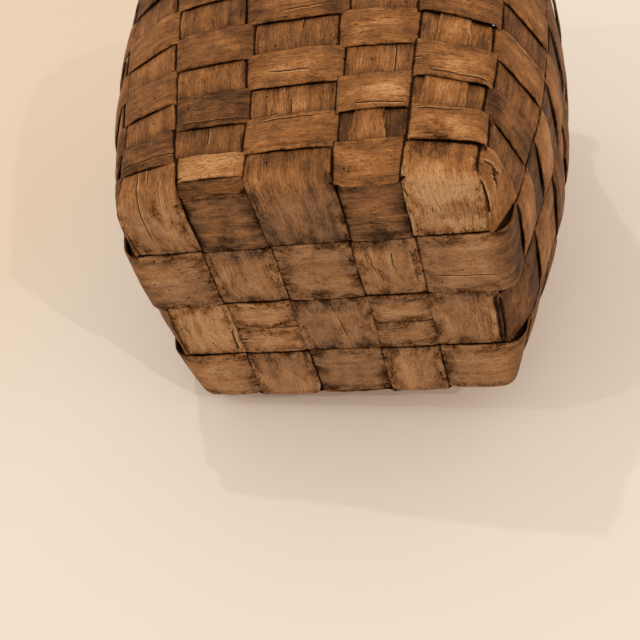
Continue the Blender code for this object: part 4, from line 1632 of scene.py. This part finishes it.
@dataclass
class Weavers:
    """The rings of narrow splint that pass in and out of the uprights."""

    lattice: Lattice
    tones: ToneBook
    features: Features
    finish: Material
    doublers: tuple[Doubler, ...]
    rise: float = 0.0032
    sink: float = 0.0009
    usual_float: float = 0.050
    most_rise_share: float = 1.3
    crown: float = 0.0009
    tuck_in: float = 0.0015
    lap_margin: float = 0.003
    first_lap: int = 10
    lap_step: int = 3
    starter_rise: float = 0.0095
    starter_rise_shares: tuple[tuple[float, float], ...] = ((0.0, 0.75), (0.90, 1.00), (0.90, 0.0))
    starter_least: float = 0.0010
    starter_end_share: float = 0.45
    starter_tone: float = 0.30
    starter_bow: float = 0.0016
    starter_sink: float = 0.0008
    samples: int = 13
    shape: SplintShape = SplintShape(
        thickness=0.0012, across_steps=9, widen=0.0024, narrow=0.0020, gap_spread=0.0036
    )

    def climb(self, slot: int, across: float) -> float:
        """Work out how far the first weaver climbs over the starter.

        Args:
            slot: The upright's number.
            across: The share of the patch's width.

        Returns:
            The share of the patch's height.
        """
        if slot >= len(self.starter_rise_shares):
            return 0.0
        near, far = self.starter_rise_shares[slot]
        height = self.lattice.crossing(slot, 1).height(across)
        return self.starter_rise * between(near, far, across) / height

    def tuck(self, low: Row) -> Row:
        """Wrap the lowest edge under the basket, to meet the base.

        Args:
            low: The edge's place on the wall.

        Returns:
            Its place.
        """
        lattice = self.lattice
        reach_x, reach_y = lattice.base_width / 2 - self.tuck_in, lattice.base_depth / 2 - self.tuck_in
        x, y = np.clip(low[0], -reach_x, reach_x), np.clip(low[1], -reach_y, reach_y)
        return np.array([x, y, lattice.base_level])

    def lift(self, slot: int, row: int) -> float:
        """Work out how much further out a weaver lies over a doubling strip.

        Args:
            slot: The upright's number.
            row: The weaver's row.

        Returns:
            The distance, nothing where there is no strip.
        """
        for doubler in self.doublers:
            if slot == doubler.slot and doubler.first_row <= row <= doubler.last_row:
                return self.shape.thickness + 2 * doubler.play - self.lattice.clearance
        return 0.0

    def build(self, row: int) -> Object:
        """Make one ring of weaver, its ends lapped behind one upright.

        Args:
            row: The row, from 1 at the bottom.

        Returns:
            The weaver.
        """
        lattice = self.lattice
        lap_slot = self.first_lap + self.lap_step * (row - 1)
        path = SplintPath()
        for count in range(lattice.uprights + 1):
            slot = (lap_slot + count) % lattice.uprights
            patch = lattice.crossing(slot, row)
            width = patch.width
            near = self.lap_margin / width if count == 0 else 0.0
            far = 1 - self.lap_margin / width if count == lattice.uprights else 1.0
            side = lattice.weaver_side(slot, row)
            offset = side.value * lattice.spacing / 2
            rise = self.sink
            if side is Side.OUTSIDE:
                offset += self.lift(slot, row)
                rise = self.rise * min(width / self.usual_float, self.most_rise_share)
            elif count == lattice.uprights:
                offset -= self.shape.thickness + lattice.clearance
            tone = self.tones.look_up(self.tones.weavers, slot, row)
            lie = Lie(side, offset, rise, tone, 0.0, self.crown)
            for across in np.linspace(near, far, self.samples):
                foot = self.climb(slot, across) if row == 1 else 0.0
                low = patch.at(across, foot)
                if row == 1 and side is Side.OUTSIDE and slot >= len(self.starter_rise_shares):
                    low = self.tuck(low)
                path.add(low, patch.at(across, 1.0), lie)
        name = f"weaver_{row:02d}_splint"
        return self.shape.build(name, path, 60 + 3 * row, self.finish, self.features)

    def starter(self) -> Object:
        """Make the narrow strip that fills in under the first weaver.

        Returns:
            The strip.
        """
        path = SplintPath()
        last = len(self.starter_rise_shares) - 1
        for slot in range(last + 1):
            patch = self.lattice.crossing(slot, 1)
            near = self.starter_end_share if slot == 0 else 0.0
            far = 1 - self.starter_end_share if slot == last else 1.0
            side = self.lattice.weaver_side(slot, 1)
            shows = side is Side.OUTSIDE
            rise = self.starter_bow if shows else self.starter_sink
            lie = Lie(side, side.value * self.lattice.spacing / 2, rise, self.starter_tone)
            for across in np.linspace(near, far, self.samples):
                height = patch.height(across)
                room = self.climb(slot, across) * height - self.lattice.row_gap
                top = max(room, self.starter_least) / height
                low = patch.at(across, 0.0)
                path.add(self.tuck(low) if shows else low, patch.at(across, top), lie)
        shape = replace(
            self.shape, across_steps=5, widen=0.0008, narrow=0.0, gap_spread=0.0, ragged=0.0002
        )
        return shape.build("starter_weaver_splint", path, 131, self.finish)


@dataclass
class Rim:
    """The hoops that clamp the uprights' ends, and the splint that lashes them."""

    lattice: Lattice
    wood: Material
    splint: Material
    hoop_thickness: float = 0.0070
    hoop_play: float = 0.0008
    stations: int = 380
    section_points: int = 15
    squareness: float = 2.6
    unevenness: float = 0.00045
    thickness_pitch: float = 0.16
    height_pitch: float = 0.21
    scarf_start_share: float = 0.24
    scarf_length: float = 0.070
    scarf_gape: float = 4.0
    hoop_tone: float = 0.42
    tone_spread: float = 0.07
    tone_pitch: float = 0.30
    hoop_grime: float = 0.25
    rubbed: float = 0.7
    lashing_width: float = 0.0065
    lashing_waist: float = 0.0046
    lashing_thickness: float = 0.0009
    lashing_play: float = 0.0004
    corner_share: float = 0.50
    shoulder_shares: tuple[float, float] = (0.26, 0.74)
    beside_share: float = 0.3
    lashing_tone: float = 0.50
    lashing_crown: float = 0.0004
    leg_ramp: float = 0.0080
    leg_crossing_share: float = 0.10
    bind_drop: float = 0.0018
    handle_slots: tuple[int, int] = (10, 12)

    @property
    def outline(self) -> Outline:
        """Return the rim's outline."""
        return self.lattice.outline(self.lattice.weave_height)

    @property
    def outer_face(self) -> float:
        """Return how far outside the rim's curve the outer hoop's flat side lies."""
        return self.lattice.stave_thickness / 2 + self.hoop_play

    @property
    def inner_face(self) -> float:
        """Work out how far the inner hoop's flat side has to lie in, past the uprights' bends.

        Returns:
            Its distance outside the rim's curve, which is below zero.
        """
        lattice = self.lattice
        depth = 0.0
        for slot in range(lattice.uprights):
            near, middle, far = (
                lattice.wall_point(slot, share, lattice.hoop_bottom) for share in (0.0, 0.5, 1.0)
            )
            depth = max(depth, float(np.linalg.norm(middle - (near + far) / 2)))
        return -lattice.stave_thickness / 2 - depth - lattice.clearance

    def hoop(self, name: str, face: float, side: Side, seed: int) -> Object:
        """Make a hoop, half round, its ends scarfed together.

        Args:
            name: The name of the frame's node that it replaces.
            face: Where its flat side lies, from the rim's curve outwards.
            side: The way its rounded side points.
            seed: A number that gives it its own unevenness.

        Returns:
            The hoop.
        """
        lattice, outline = self.lattice, self.outline
        turns = np.linspace(-math.pi / 2, math.pi / 2, self.section_points)
        bulge = squared_off(np.cos(turns), self.squareness)
        climb = (1 + squared_off(np.sin(turns), self.squareness)) / 2
        shares = np.arange(self.stations) / self.stations
        middles = np.array([outline.point(share) for share in shares])
        outs = np.array([outline.normal(share) for share in shares])
        runs = shares * outline.length
        thinned = self.unevenness * (1 + ripple(runs, seed, self.thickness_pitch))
        reach = face + side.value * (self.hoop_thickness - thinned)[:, None] * bulge[None, :]
        low = self.unevenness * (1 + ripple(runs, seed + 5, self.height_pitch))
        ring = middles[:, None, :] + outs[:, None, :] * reach[:, :, None]
        ring[:, :, 2] = lattice.hoop_bottom + low[:, None] + (lattice.hoop_height - low)[:, None] * climb
        section = np.stack([bulge * self.hoop_thickness, climb * lattice.hoop_height], axis=1)
        worn = self.rubbed * (bulge**2 * smooth_step(climb, 0.3, 1.0))[None, :]
        tone = self.hoop_tone + self.tone_spread * ripple(runs, seed + 9, self.tone_pitch)[:, None]
        part = (runs - self.scarf_start_share * outline.length) / self.scarf_length
        aside = lattice.hoop_height * (climb[None, :] - part[:, None])
        split = np.where(np.abs(part - 0.5)[:, None] < 0.5, aside / self.scarf_gape, FAR)
        return closed_mesh(f"{name}_wood", ring, {
            "splint_place": layered(runs[:, None] + seed, lengths(section)[None, :], FAR),
            "splint_state": layered(tone, self.hoop_grime * (1 - worn), worn),
            "splint_fault": layered(split, FAR, 0.0),
        }, self.wood, closed=True)

    def beside(self, corner: float, other: float) -> float:
        """Return the share of the rim at which the lashing leaves one corner for another."""
        return (1 - self.beside_share) * corner + self.beside_share * other

    def lashing(self, leg_width: float, leg_depth: float) -> Object:
        """Make the lashing, a turn for each upright, which also binds the handle's legs.

        Args:
            leg_width: How wide the legs are.
            leg_depth: How far they stand out from the inner hoop.

        Returns:
            The lashing.
        """
        lattice, outline = self.lattice, self.outline
        stand_off = self.lashing_play + self.lashing_thickness / 2
        outside = self.outer_face + self.hoop_thickness + stand_off
        inside = self.inner_face - self.hoop_thickness - stand_off
        outer_corner = outside - self.corner_share * self.hoop_thickness
        inner_corner = inside + self.corner_share * self.hoop_thickness
        below, above = lattice.hoop_bottom - stand_off, lattice.hoop_top + stand_off
        low, high = (between(below, above, share) for share in self.shoulder_shares)
        # A stop on the way round: its share of the rim, how far out, how high, and which
        # way the lashing faces there, outwards and upwards.
        stops: list[tuple[float, float, float, int, int]] = []
        for slot in range(lattice.uprights):
            start, end = (lattice.boundary(at, lattice.weave_height) for at in (slot, slot + 1))
            has_leg = slot in self.handle_slots
            cross = start + (end - start) * (self.leg_crossing_share if has_leg else 0.5)
            stops += [
                (start, outer_corner, below, 1, -1),
                (self.beside(start, cross), outside, low, 1, 0),
                (self.beside(cross, start), outside, high, 1, 0),
                (cross, outer_corner, above, 1, 1), (cross, inner_corner, above, -1, 1),
            ]
            if has_leg:
                shoulder = leg_width / 2 / outline.length
                foot = shoulder + self.leg_ramp / outline.length
                stops += [
                    ((start + end) / 2 + shift, inside - depth, lattice.hoop_top - self.bind_drop, -1, 0)
                    for shift, depth in (
                        (-foot, 0.0), (-shoulder, leg_depth), (shoulder, leg_depth), (foot, 0.0)
                    )
                ]
            else:
                stops += [
                    (self.beside(cross, end), inside, high, -1, 0),
                    (self.beside(end, cross), inside, low, -1, 0),
                ]
            stops.append((end, inner_corner, below, -1, -1))
        outs = [outline.normal(share) for share, *_ in stops]
        places = [
            outline.point(share) + out * reach + np.array([0.0, 0.0, height])
            for (share, reach, height, *_), out in zip(stops, outs)
        ]
        path = SplintPath()
        lie = Lie(Side.OUTSIDE, 0.0, 0.0, self.lashing_tone, crown=self.lashing_crown)
        across = np.zeros(3)
        for index, ((*_, outward, upward), out, place) in enumerate(zip(stops, outs, places)):
            ahead = places[min(index + 1, len(places) - 1)] - places[max(index - 1, 0)]
            face = out * outward + np.array([0.0, 0.0, upward])
            level = np.array([-out[1], out[0], 0.0])
            turned = level if upward else unit(np.cross(face, ahead))
            across = -turned if turned @ across < 0 else turned
            half = across * (self.lashing_waist if upward < 0 else self.lashing_width) / 2
            path.add(place - half, place + half, lie)
        shape = SplintShape(
            thickness=self.lashing_thickness, across_steps=5, widen=0.0003, narrow=0.0003,
            ragged=0.0002, waviness=0.0001, step=0.0014, tight_bend=0.0020, edge_reach=0.0004,
        )
        return shape.build("rim_lashing_splint", path, 171, self.splint)


@dataclass
class CarryHandle:
    """The carved handle, flat at its legs and round at the grip, and its rivets."""

    box: tuple[Vector, Vector]
    bend_height: float
    wood: Material
    copper: Material
    rise: float = 0.0600
    leg_width: float = 0.0180
    leg_depth: float = 0.0070
    grip_width: float = 0.0150
    grip_depth: float = 0.0140
    leg_stations: int = 24
    arch_stations: int = 150
    section_points: int = 28
    end_share: float = 0.6
    end_reach: float = 0.008
    tone: float = 0.40
    tone_spread: float = 0.05
    tone_pitch: float = 0.09
    grip_darkening: float = 0.10
    grime: float = 0.3
    rubbed: float = 0.8
    leg_squareness: float = 5.0
    grip_squareness: float = 2.7
    grip_fullness: float = 0.8
    grip_steps: float = 2.0
    knife_depth: float = 0.00030
    knife_pitch: float = 0.034
    knife_slant: float = 0.9
    # The rivet's outline from its head outside to its burr inside: shares of its radius,
    # and distances from its outer or inner end.
    head_height: float = 0.0018
    shank_share: float = 0.44
    burr_height: float = 0.0012
    burr_share: float = 0.87
    head_share: float = 0.98
    bevel_share: float = 0.95
    peen_share: float = 0.7
    least_share: float = 0.01
    dome_turn: float = 0.46 * math.pi
    dome_points: int = 9
    rivet_points: int = 36

    def build(self) -> Object:
        """Make the handle: a leg, the arch with the grip, and the other leg.

        Returns:
            The handle.
        """
        low, high = self.box
        half_span = (high.x - low.x - self.leg_width) / 2
        middle_y = (high.y + low.y) / 2
        heights = np.linspace(low.z, self.bend_height, self.leg_stations)
        leg = [(-half_span, height, 0.0, 0.0) for height in heights]
        arch = [
            (
                -half_span * math.cos(turn), self.bend_height + self.rise * math.sin(turn),
                math.atan2(self.rise * math.cos(turn), half_span * math.sin(turn)) - math.pi / 2,
                math.sin(turn) ** self.grip_fullness,
            )
            for turn in np.linspace(0.0, math.pi, self.arch_stations)[1:-1]
        ]
        other = [(half_span, height, -math.pi, 0.0) for _, height, _, _ in reversed(leg)]
        x, z, lean, grip = np.array(leg + arch + other).T
        grip = blurred(grip, self.grip_steps)
        runs = lengths(np.stack([x, z], axis=1))
        turns = np.linspace(0.0, 2 * math.pi, self.section_points, endpoint=False)
        square = between(self.leg_squareness, self.grip_squareness, grip)[:, None]
        wide, deep = (squared_off(wave, square) for wave in (np.cos(turns), np.sin(turns)))
        from_end = smooth_step(np.minimum(runs, runs[-1] - runs), 0.0, self.end_reach)
        end_taper = between(self.end_share, 1.0, from_end)
        half_width = between(self.leg_width, self.grip_width, grip) / 2 * end_taper
        half_depth = between(self.leg_depth, self.grip_depth, grip) / 2
        around = turns * self.grip_width / 2
        slanted = runs[:, None] + self.knife_slant * around
        cuts = self.knife_depth * (ripple(slanted, 5, self.knife_pitch) - 1)
        side = np.stack([np.cos(lean), 0 * lean, np.sin(lean)], axis=1)
        ring = side[:, None, :] * ((half_width[:, None] + cuts) * wide)[:, :, None]
        ring[:, :, 1] += (half_depth[:, None] + cuts) * deep
        ring += np.stack([x, 0 * x + middle_y, z], axis=1)[:, None, :]
        worn = grip[:, None]
        tone = self.tone - self.grip_darkening * worn
        tone = tone + self.tone_spread * ripple(runs, 3, self.tone_pitch)[:, None]
        return closed_mesh("carry_handle_wood", ring, {
            "splint_place": layered(runs[:, None] + 9, around[None, :], FAR),
            "splint_state": layered(tone, self.grime * (1 - worn), self.rubbed * worn),
            "splint_fault": layered(FAR, FAR, 0.0),
        }, self.wood)

    def rivet(self, name: str) -> Object:
        """Make one copper rivet with a hammered head and, inside, its burr.

        Args:
            name: The name of the frame's node that it replaces.

        Returns:
            The rivet.
        """
        low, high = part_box(name)
        radius = (high.x - low.x) / 2
        shank, burr, bevel = self.shank_share, self.burr_share, self.bevel_share
        under_head = high.y - self.head_height
        burr_out = low.y + 2 * self.burr_height
        burr_in = burr_out - self.burr_height
        outline = [
            (under_head + self.head_height * math.cos(turn), max(math.sin(turn), self.least_share))
            for turn in np.linspace(0.0, self.dome_turn, self.dome_points)
        ]
        outline += [
            (under_head, self.head_share), (under_head, shank), (burr_out, shank),
            (burr_out, bevel * burr), (burr_out - self.burr_height / 6, burr),
            (burr_in + self.burr_height / 6, burr), (burr_in, bevel * burr), (burr_in, shank),
            (low.y + self.burr_height / 4, bevel * shank), (low.y, self.peen_share * shank),
            (low.y, self.least_share),
        ]
        turns = np.linspace(0.0, 2 * math.pi, self.rivet_points, endpoint=False)
        x, z = (low.x + high.x) / 2, (low.z + high.z) / 2
        ring = np.array([
            [(x + radius * out * math.cos(turn), y, z + radius * out * math.sin(turn)) for turn in turns]
            for y, out in outline
        ])
        return closed_mesh(f"{name}_copper", ring, {}, self.copper)


@dataclass(frozen=True)
class Lamp:
    """A square lamp that points at the basket, its power in watts."""

    name: str
    place: tuple[float, float, float]
    power: float
    colour: str
    size: float = 0.035
    spread: float = math.pi
    aim: tuple[float, float, float] = (0.0, 0.0, 0.15)

    def hang(self) -> None:
        """Add the lamp to the scene."""
        data = bpy.data.lights.new(self.name, "AREA")
        data.size = self.size
        data.spread = self.spread
        data.energy = self.power
        data.color = linear(self.colour)[:3]
        item = placed(self.name, data)
        item.location = self.place
        item.rotation_mode = "QUATERNION"
        item.rotation_quaternion = (Vector(self.aim) - Vector(self.place)).to_track_quat("-Z", "Y")


@dataclass
class Studio:
    """The camera, the floor, the pale wall that the back touches, and the lights."""

    aim: Vector = Vector((0.0, -0.080, 0.0))
    distance: float = 0.710
    azimuth: float = math.radians(20.4)
    elevation: float = math.radians(-40.4)
    roll: float = math.radians(10.7)
    slide_right: float = -0.015
    slide_up: float = 0.066
    focal_pixels: float = 1006.0
    sensor_width: float = 36.0
    wall_place: float = 0.1235
    wall_turn: float = math.radians(8.0)
    wall_touch: float = -0.180
    extent: float = 9.0
    room_light: str = "#FFECD9"
    room_strength: float = 0.91
    room_seen: str = "#E9D8C4"
    lamps: tuple[Lamp, ...] = (
        Lamp("high_lamp", (-0.33, -2.00, 0.66), 2.15, "#F4FBF6", spread=math.radians(130.0)),
        Lamp("right_lamp", (2.05, -1.90, -1.30), 11.3, "#FFF6EE"),
        Lamp("left_lamp", (-1.20, -2.00, -0.70), 4.2, "#FFF6EE"),
        Lamp("back_lamp", (-0.90, 1.90, 2.10), 13.0, "#FFF4E8", size=1.00),
    )

    def camera(self) -> None:
        """Add the scene's camera at the photograph's place."""
        back = Vector((
            math.sin(self.azimuth) * math.cos(self.elevation),
            -math.cos(self.azimuth) * math.cos(self.elevation),
            math.sin(self.elevation),
        ))
        level = Vector((0.0, 0.0, 1.0)).cross(back).normalized()
        rise = back.cross(level)
        right = level * math.cos(self.roll) + rise * math.sin(self.roll)
        up = rise * math.cos(self.roll) - level * math.sin(self.roll)
        data = bpy.data.cameras.new("camera")
        data.sensor_width = self.sensor_width
        data.lens = self.sensor_width * self.focal_pixels / PICTURE_SIZE
        data.clip_start = 0.02
        data.clip_end = 20.0
        item = placed("camera", data)
        place = self.aim + back * self.distance - right * self.slide_right - up * self.slide_up
        item.matrix_world = Matrix.Translation(place) @ Matrix((right, up, back)).transposed().to_4x4()
        bpy.context.scene.camera = item

    def backdrop(self) -> None:
        """Add the floor under the basket and the wall behind it, each seen from one side."""
        paint = PaintFinish().build()
        far = self.extent
        left, right = (
            self.wall_place + (x - self.wall_touch) * math.tan(self.wall_turn) for x in (-far, far)
        )
        planes = {
            "floor": ((-far, -far, 0), (far, -far, 0), (far, far, 0), (-far, far, 0)),
            "wall": ((-far, left, -far), (far, right, -far), (far, right, far), (-far, left, far)),
        }
        for name, places in planes.items():
            mesh = bpy.data.meshes.new(name)
            mesh.from_pydata([Vector(place) for place in places], [], [(0, 1, 2, 3)])
            mesh.materials.append(paint)
            item = placed(name, mesh)
            item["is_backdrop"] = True

    def light(self) -> None:
        """Hang the lamps and add the room's even light, which is warm where it shows."""
        for lamp in self.lamps:
            lamp.hang()
        world = bpy.data.worlds.new("room")
        bpy.context.scene.world = world
        world.use_nodes = True
        tree = world.node_tree
        soft = tree.nodes["Background"]
        feed(tree, soft, {"Color": linear(self.room_light), "Strength": self.room_strength})
        seen = add_node(tree, "Background", {"Color": linear(self.room_seen)})
        camera_ray = add_node(tree, "LightPath", {}, "Is Camera Ray")
        mixed = add_node(tree, "MixShader", {0: camera_ray, 1: soft.outputs[0], 2: seen})
        feed(tree, tree.nodes["World Output"], {"Surface": mixed})
        bpy.context.scene.view_settings.view_transform = "Standard"


DOUBLERS = (
    Doubler("repair_splint_short", 3, 1, 3, (0.08, 0.76), (0.24, 0.62), 0.50),
    Doubler("repair_splint_long", 4, 2, 6, (0.02, 0.82), (0.28, 0.66), 0.58),
)


def seen_features(lattice: Lattice) -> Features:
    """Return the marks and cracks that the photograph shows.

    Args:
        lattice: The weave that they lie on.

    Returns:
        The features.
    """
    wall, base = lattice.crossing, lattice.base_point
    marks = (
        Mark(base(4, 0, 0.66, 0.50), 0.020, 0.034, tone=-0.34),
        Mark(wall(4, 1).at(0.35, 0.80), 0.026, 0.030, tone=-0.16, grime=0.35),
        Mark(base(4, 0, 0.30, 0.05), 0.034, 0.030, tone=0.12),
        Mark(wall(5, 1).at(0.20, 0.62), 0.016, 0.020, tone=0.10, grime=0.20, wrinkle=0.0013),
        Mark(base(0, 0, 0.55, 0.15), 0.024, 0.010, grime=0.6),
        # These three darken a cell across its width where its column comes out from under the row in
        # front.
        Mark(base(1, 1, 0.50, 0.02), 0.022, 0.050, tone=-0.18, grime=0.3),
        Mark(base(3, 1, 0.50, 0.03), 0.018, 0.045, tone=-0.16, grime=0.3),
        Mark(base(2, 2, 0.45, 0.05), 0.022, 0.050, tone=-0.15, grime=0.3),
        Mark(base(3, 1, 0.35, 0.60), 0.012, 0.008, grime=0.6),
        Mark(base(2, 2, 0.55, 0.55), 0.020, 0.010, tone=-0.1, grime=0.5),
        Mark(base(1, 2, 0.50, 0.42), 0.050, 0.010, grime=0.5),
        Mark(base(3, 0, 0.50, 0.40), 0.045, 0.030, tone=0.06),
        Mark(wall(4, 3).at(0.40, 0.50), 0.020, 0.018, tone=0.08),
        Mark(wall(4, 4).at(0.66, 0.30), 0.042, 0.012, tone=0.20),
        Mark(wall(3, 3).at(0.60, 0.50), 0.038, 0.013, tone=0.16),
        Mark(wall(4, 2).at(0.60, 0.40), 0.036, 0.014, tone=0.14),
        Mark(wall(5, 3).at(0.40, 0.60), 0.030, 0.012, tone=0.18),
        Mark(wall(2, 4).at(0.50, 0.40), 0.040, 0.014, tone=0.12),
        Mark(wall(1, 5).at(0.60, 0.70), 0.024, 0.012, tone=0.14),
        Mark(base(4, 0, 0.30, 0.70), 0.040, 0.020, tone=-0.16),
    )
    cracks = (
        Crack(wall(0, 1).at(0.30, 0.10), 0.075, 0.004),
        Crack(base(2, 2, 0.55, 0.50), 0.022, 0.003),
        Crack(base(3, 1, 0.62, 0.35), 0.014),
        Crack(base(3, 1, 0.25, 0.40), 0.012, 0.001),
        Crack(wall(2, 2).at(0.50, 0.86), 0.036, 0.001),
        Crack(wall(2, 4).at(0.45, 0.30), 0.030, -0.001),
        Crack(wall(1, 3).at(0.50, 0.14), 0.040, -0.001),
        Crack(wall(3, 3).at(0.60, 0.16), 0.034, -0.002),
        Crack(wall(4, 4).at(0.60, 0.12), 0.040, -0.001),
        Crack(wall(3, 4).at(0.74, 0.50), 0.045),
        Crack(wall(5, 1).at(0.10, 0.62), 0.016, 0.004, 2.0),
        Crack(wall(5, 1).at(0.20, 0.46), 0.014, -0.003, 1.6),
        Crack(base(4, 0, 0.98, 0.26), 0.036, 0.0, 2.6),
        Crack(base(4, 2, 0.96, 0.50), 0.046, 0.0, 4.0),
        Crack(base(0, 2, 0.94, 0.70), 0.022, -0.002, 2.2),
        Crack(wall(0, 2).at(0.50, 0.25), 0.045, 0.001),
        Crack(wall(4, 2).at(0.40, 0.86), 0.030, 0.001),
        Crack(wall(2, 6).at(0.60, 0.18), 0.030, 0.001),
        Crack(base(4, 1, 0.60, 0.70), 0.040, 0.002),
    )
    return Features(marks, cracks)


def settle(piece: Object, node: str) -> None:
    """Put a finished piece on the frame in place of its node.

    Args:
        piece: The finished piece.
        node: The frame's node that it stands for.
    """
    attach(piece, "root")
    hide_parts(node)
    LOG.info("%s: %d points", piece.name, len(piece.data.vertices))


def corners(box: tuple[Vector, Vector]) -> list[list[float]]:
    """Return a box's lowest and highest corner as plain lists."""
    return [list(corner) for corner in box]


def main() -> None:
    """Build the basket's looks on its frame."""
    logging.basicConfig(level=logging.INFO, format="%(name)s: %(message)s")
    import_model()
    cad_box = corners(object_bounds())
    studio = Studio()
    studio.camera()
    studio.backdrop()
    studio.light()

    lattice = Lattice()
    tones = ToneBook()
    features = seen_features(lattice)
    splint = AshFinish().build()
    wood = AshFinish(
        name="ash_bent_carved_and_handled", dark="#5A3B20", middle="#785231", warm="#95683F",
        pale="#B58B5F", fibre=Pattern(0.030, 0.0009, 4.0, 0.76),
        band=Pattern(0.120, 0.0040, 3.0), hole_pitch=0.060, roughness=0.46,
    ).build()
    copper = CopperFinish().build()

    wide = WideSplints(lattice, tones, features, splint)
    for number in range(lattice.columns):
        name = f"column_stave_{number + 1}"
        settle(wide.build(name, Way.COLUMN, number), name)
    half_split = wide.split_gap / (2 * lattice.upright_width(lattice.columns + wide.split_row, 0.0))
    for number in range(lattice.rows):
        name = f"row_stave_{number + 1}"
        if number == wide.split_row:
            front = wide.build(f"{name}_front", Way.ROW, number, 0.0, 0.5 - half_split)
            back = wide.build(f"{name}_back", Way.ROW, number, 0.5 + half_split, 1.0)
            settle(front, f"{name}_front")
            settle(back, f"{name}_back")
        else:
            settle(wide.build(name, Way.ROW, number), name)

    weavers = Weavers(lattice, tones, features, splint, DOUBLERS)
    for doubler in DOUBLERS:
        settle(doubler.build(lattice, splint), doubler.name)
    settle(weavers.starter(), "starter_weaver")
    for row in range(1, lattice.weaver_rows + 1):
        settle(weavers.build(row), f"weaver_{row:02d}")

    rim = Rim(lattice, wood, splint)
    for name, face, side, seed in (
        ("outer_rim_hoop", rim.outer_face, Side.OUTSIDE, 3),
        ("inner_rim_hoop", rim.inner_face, Side.INSIDE, 7),
    ):
        settle(rim.hoop(name, face, side, seed), name)
    bend_height = lattice.hoop_top + CarryHandle.leg_width / 2
    handle = CarryHandle(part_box("carry_handle"), bend_height, wood, copper)
    settle(handle.build(), "carry_handle")
    lashing = rim.lashing(handle.leg_width, handle.leg_depth)
    settle(lashing, "rim_lashing")
    for name in ("handle_rivet_right", "handle_rivet_left"):
        settle(handle.rivet(name), name)

    {"cad": cad_box, "visual": corners(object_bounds())}


if __name__ == "__main__":
    main()
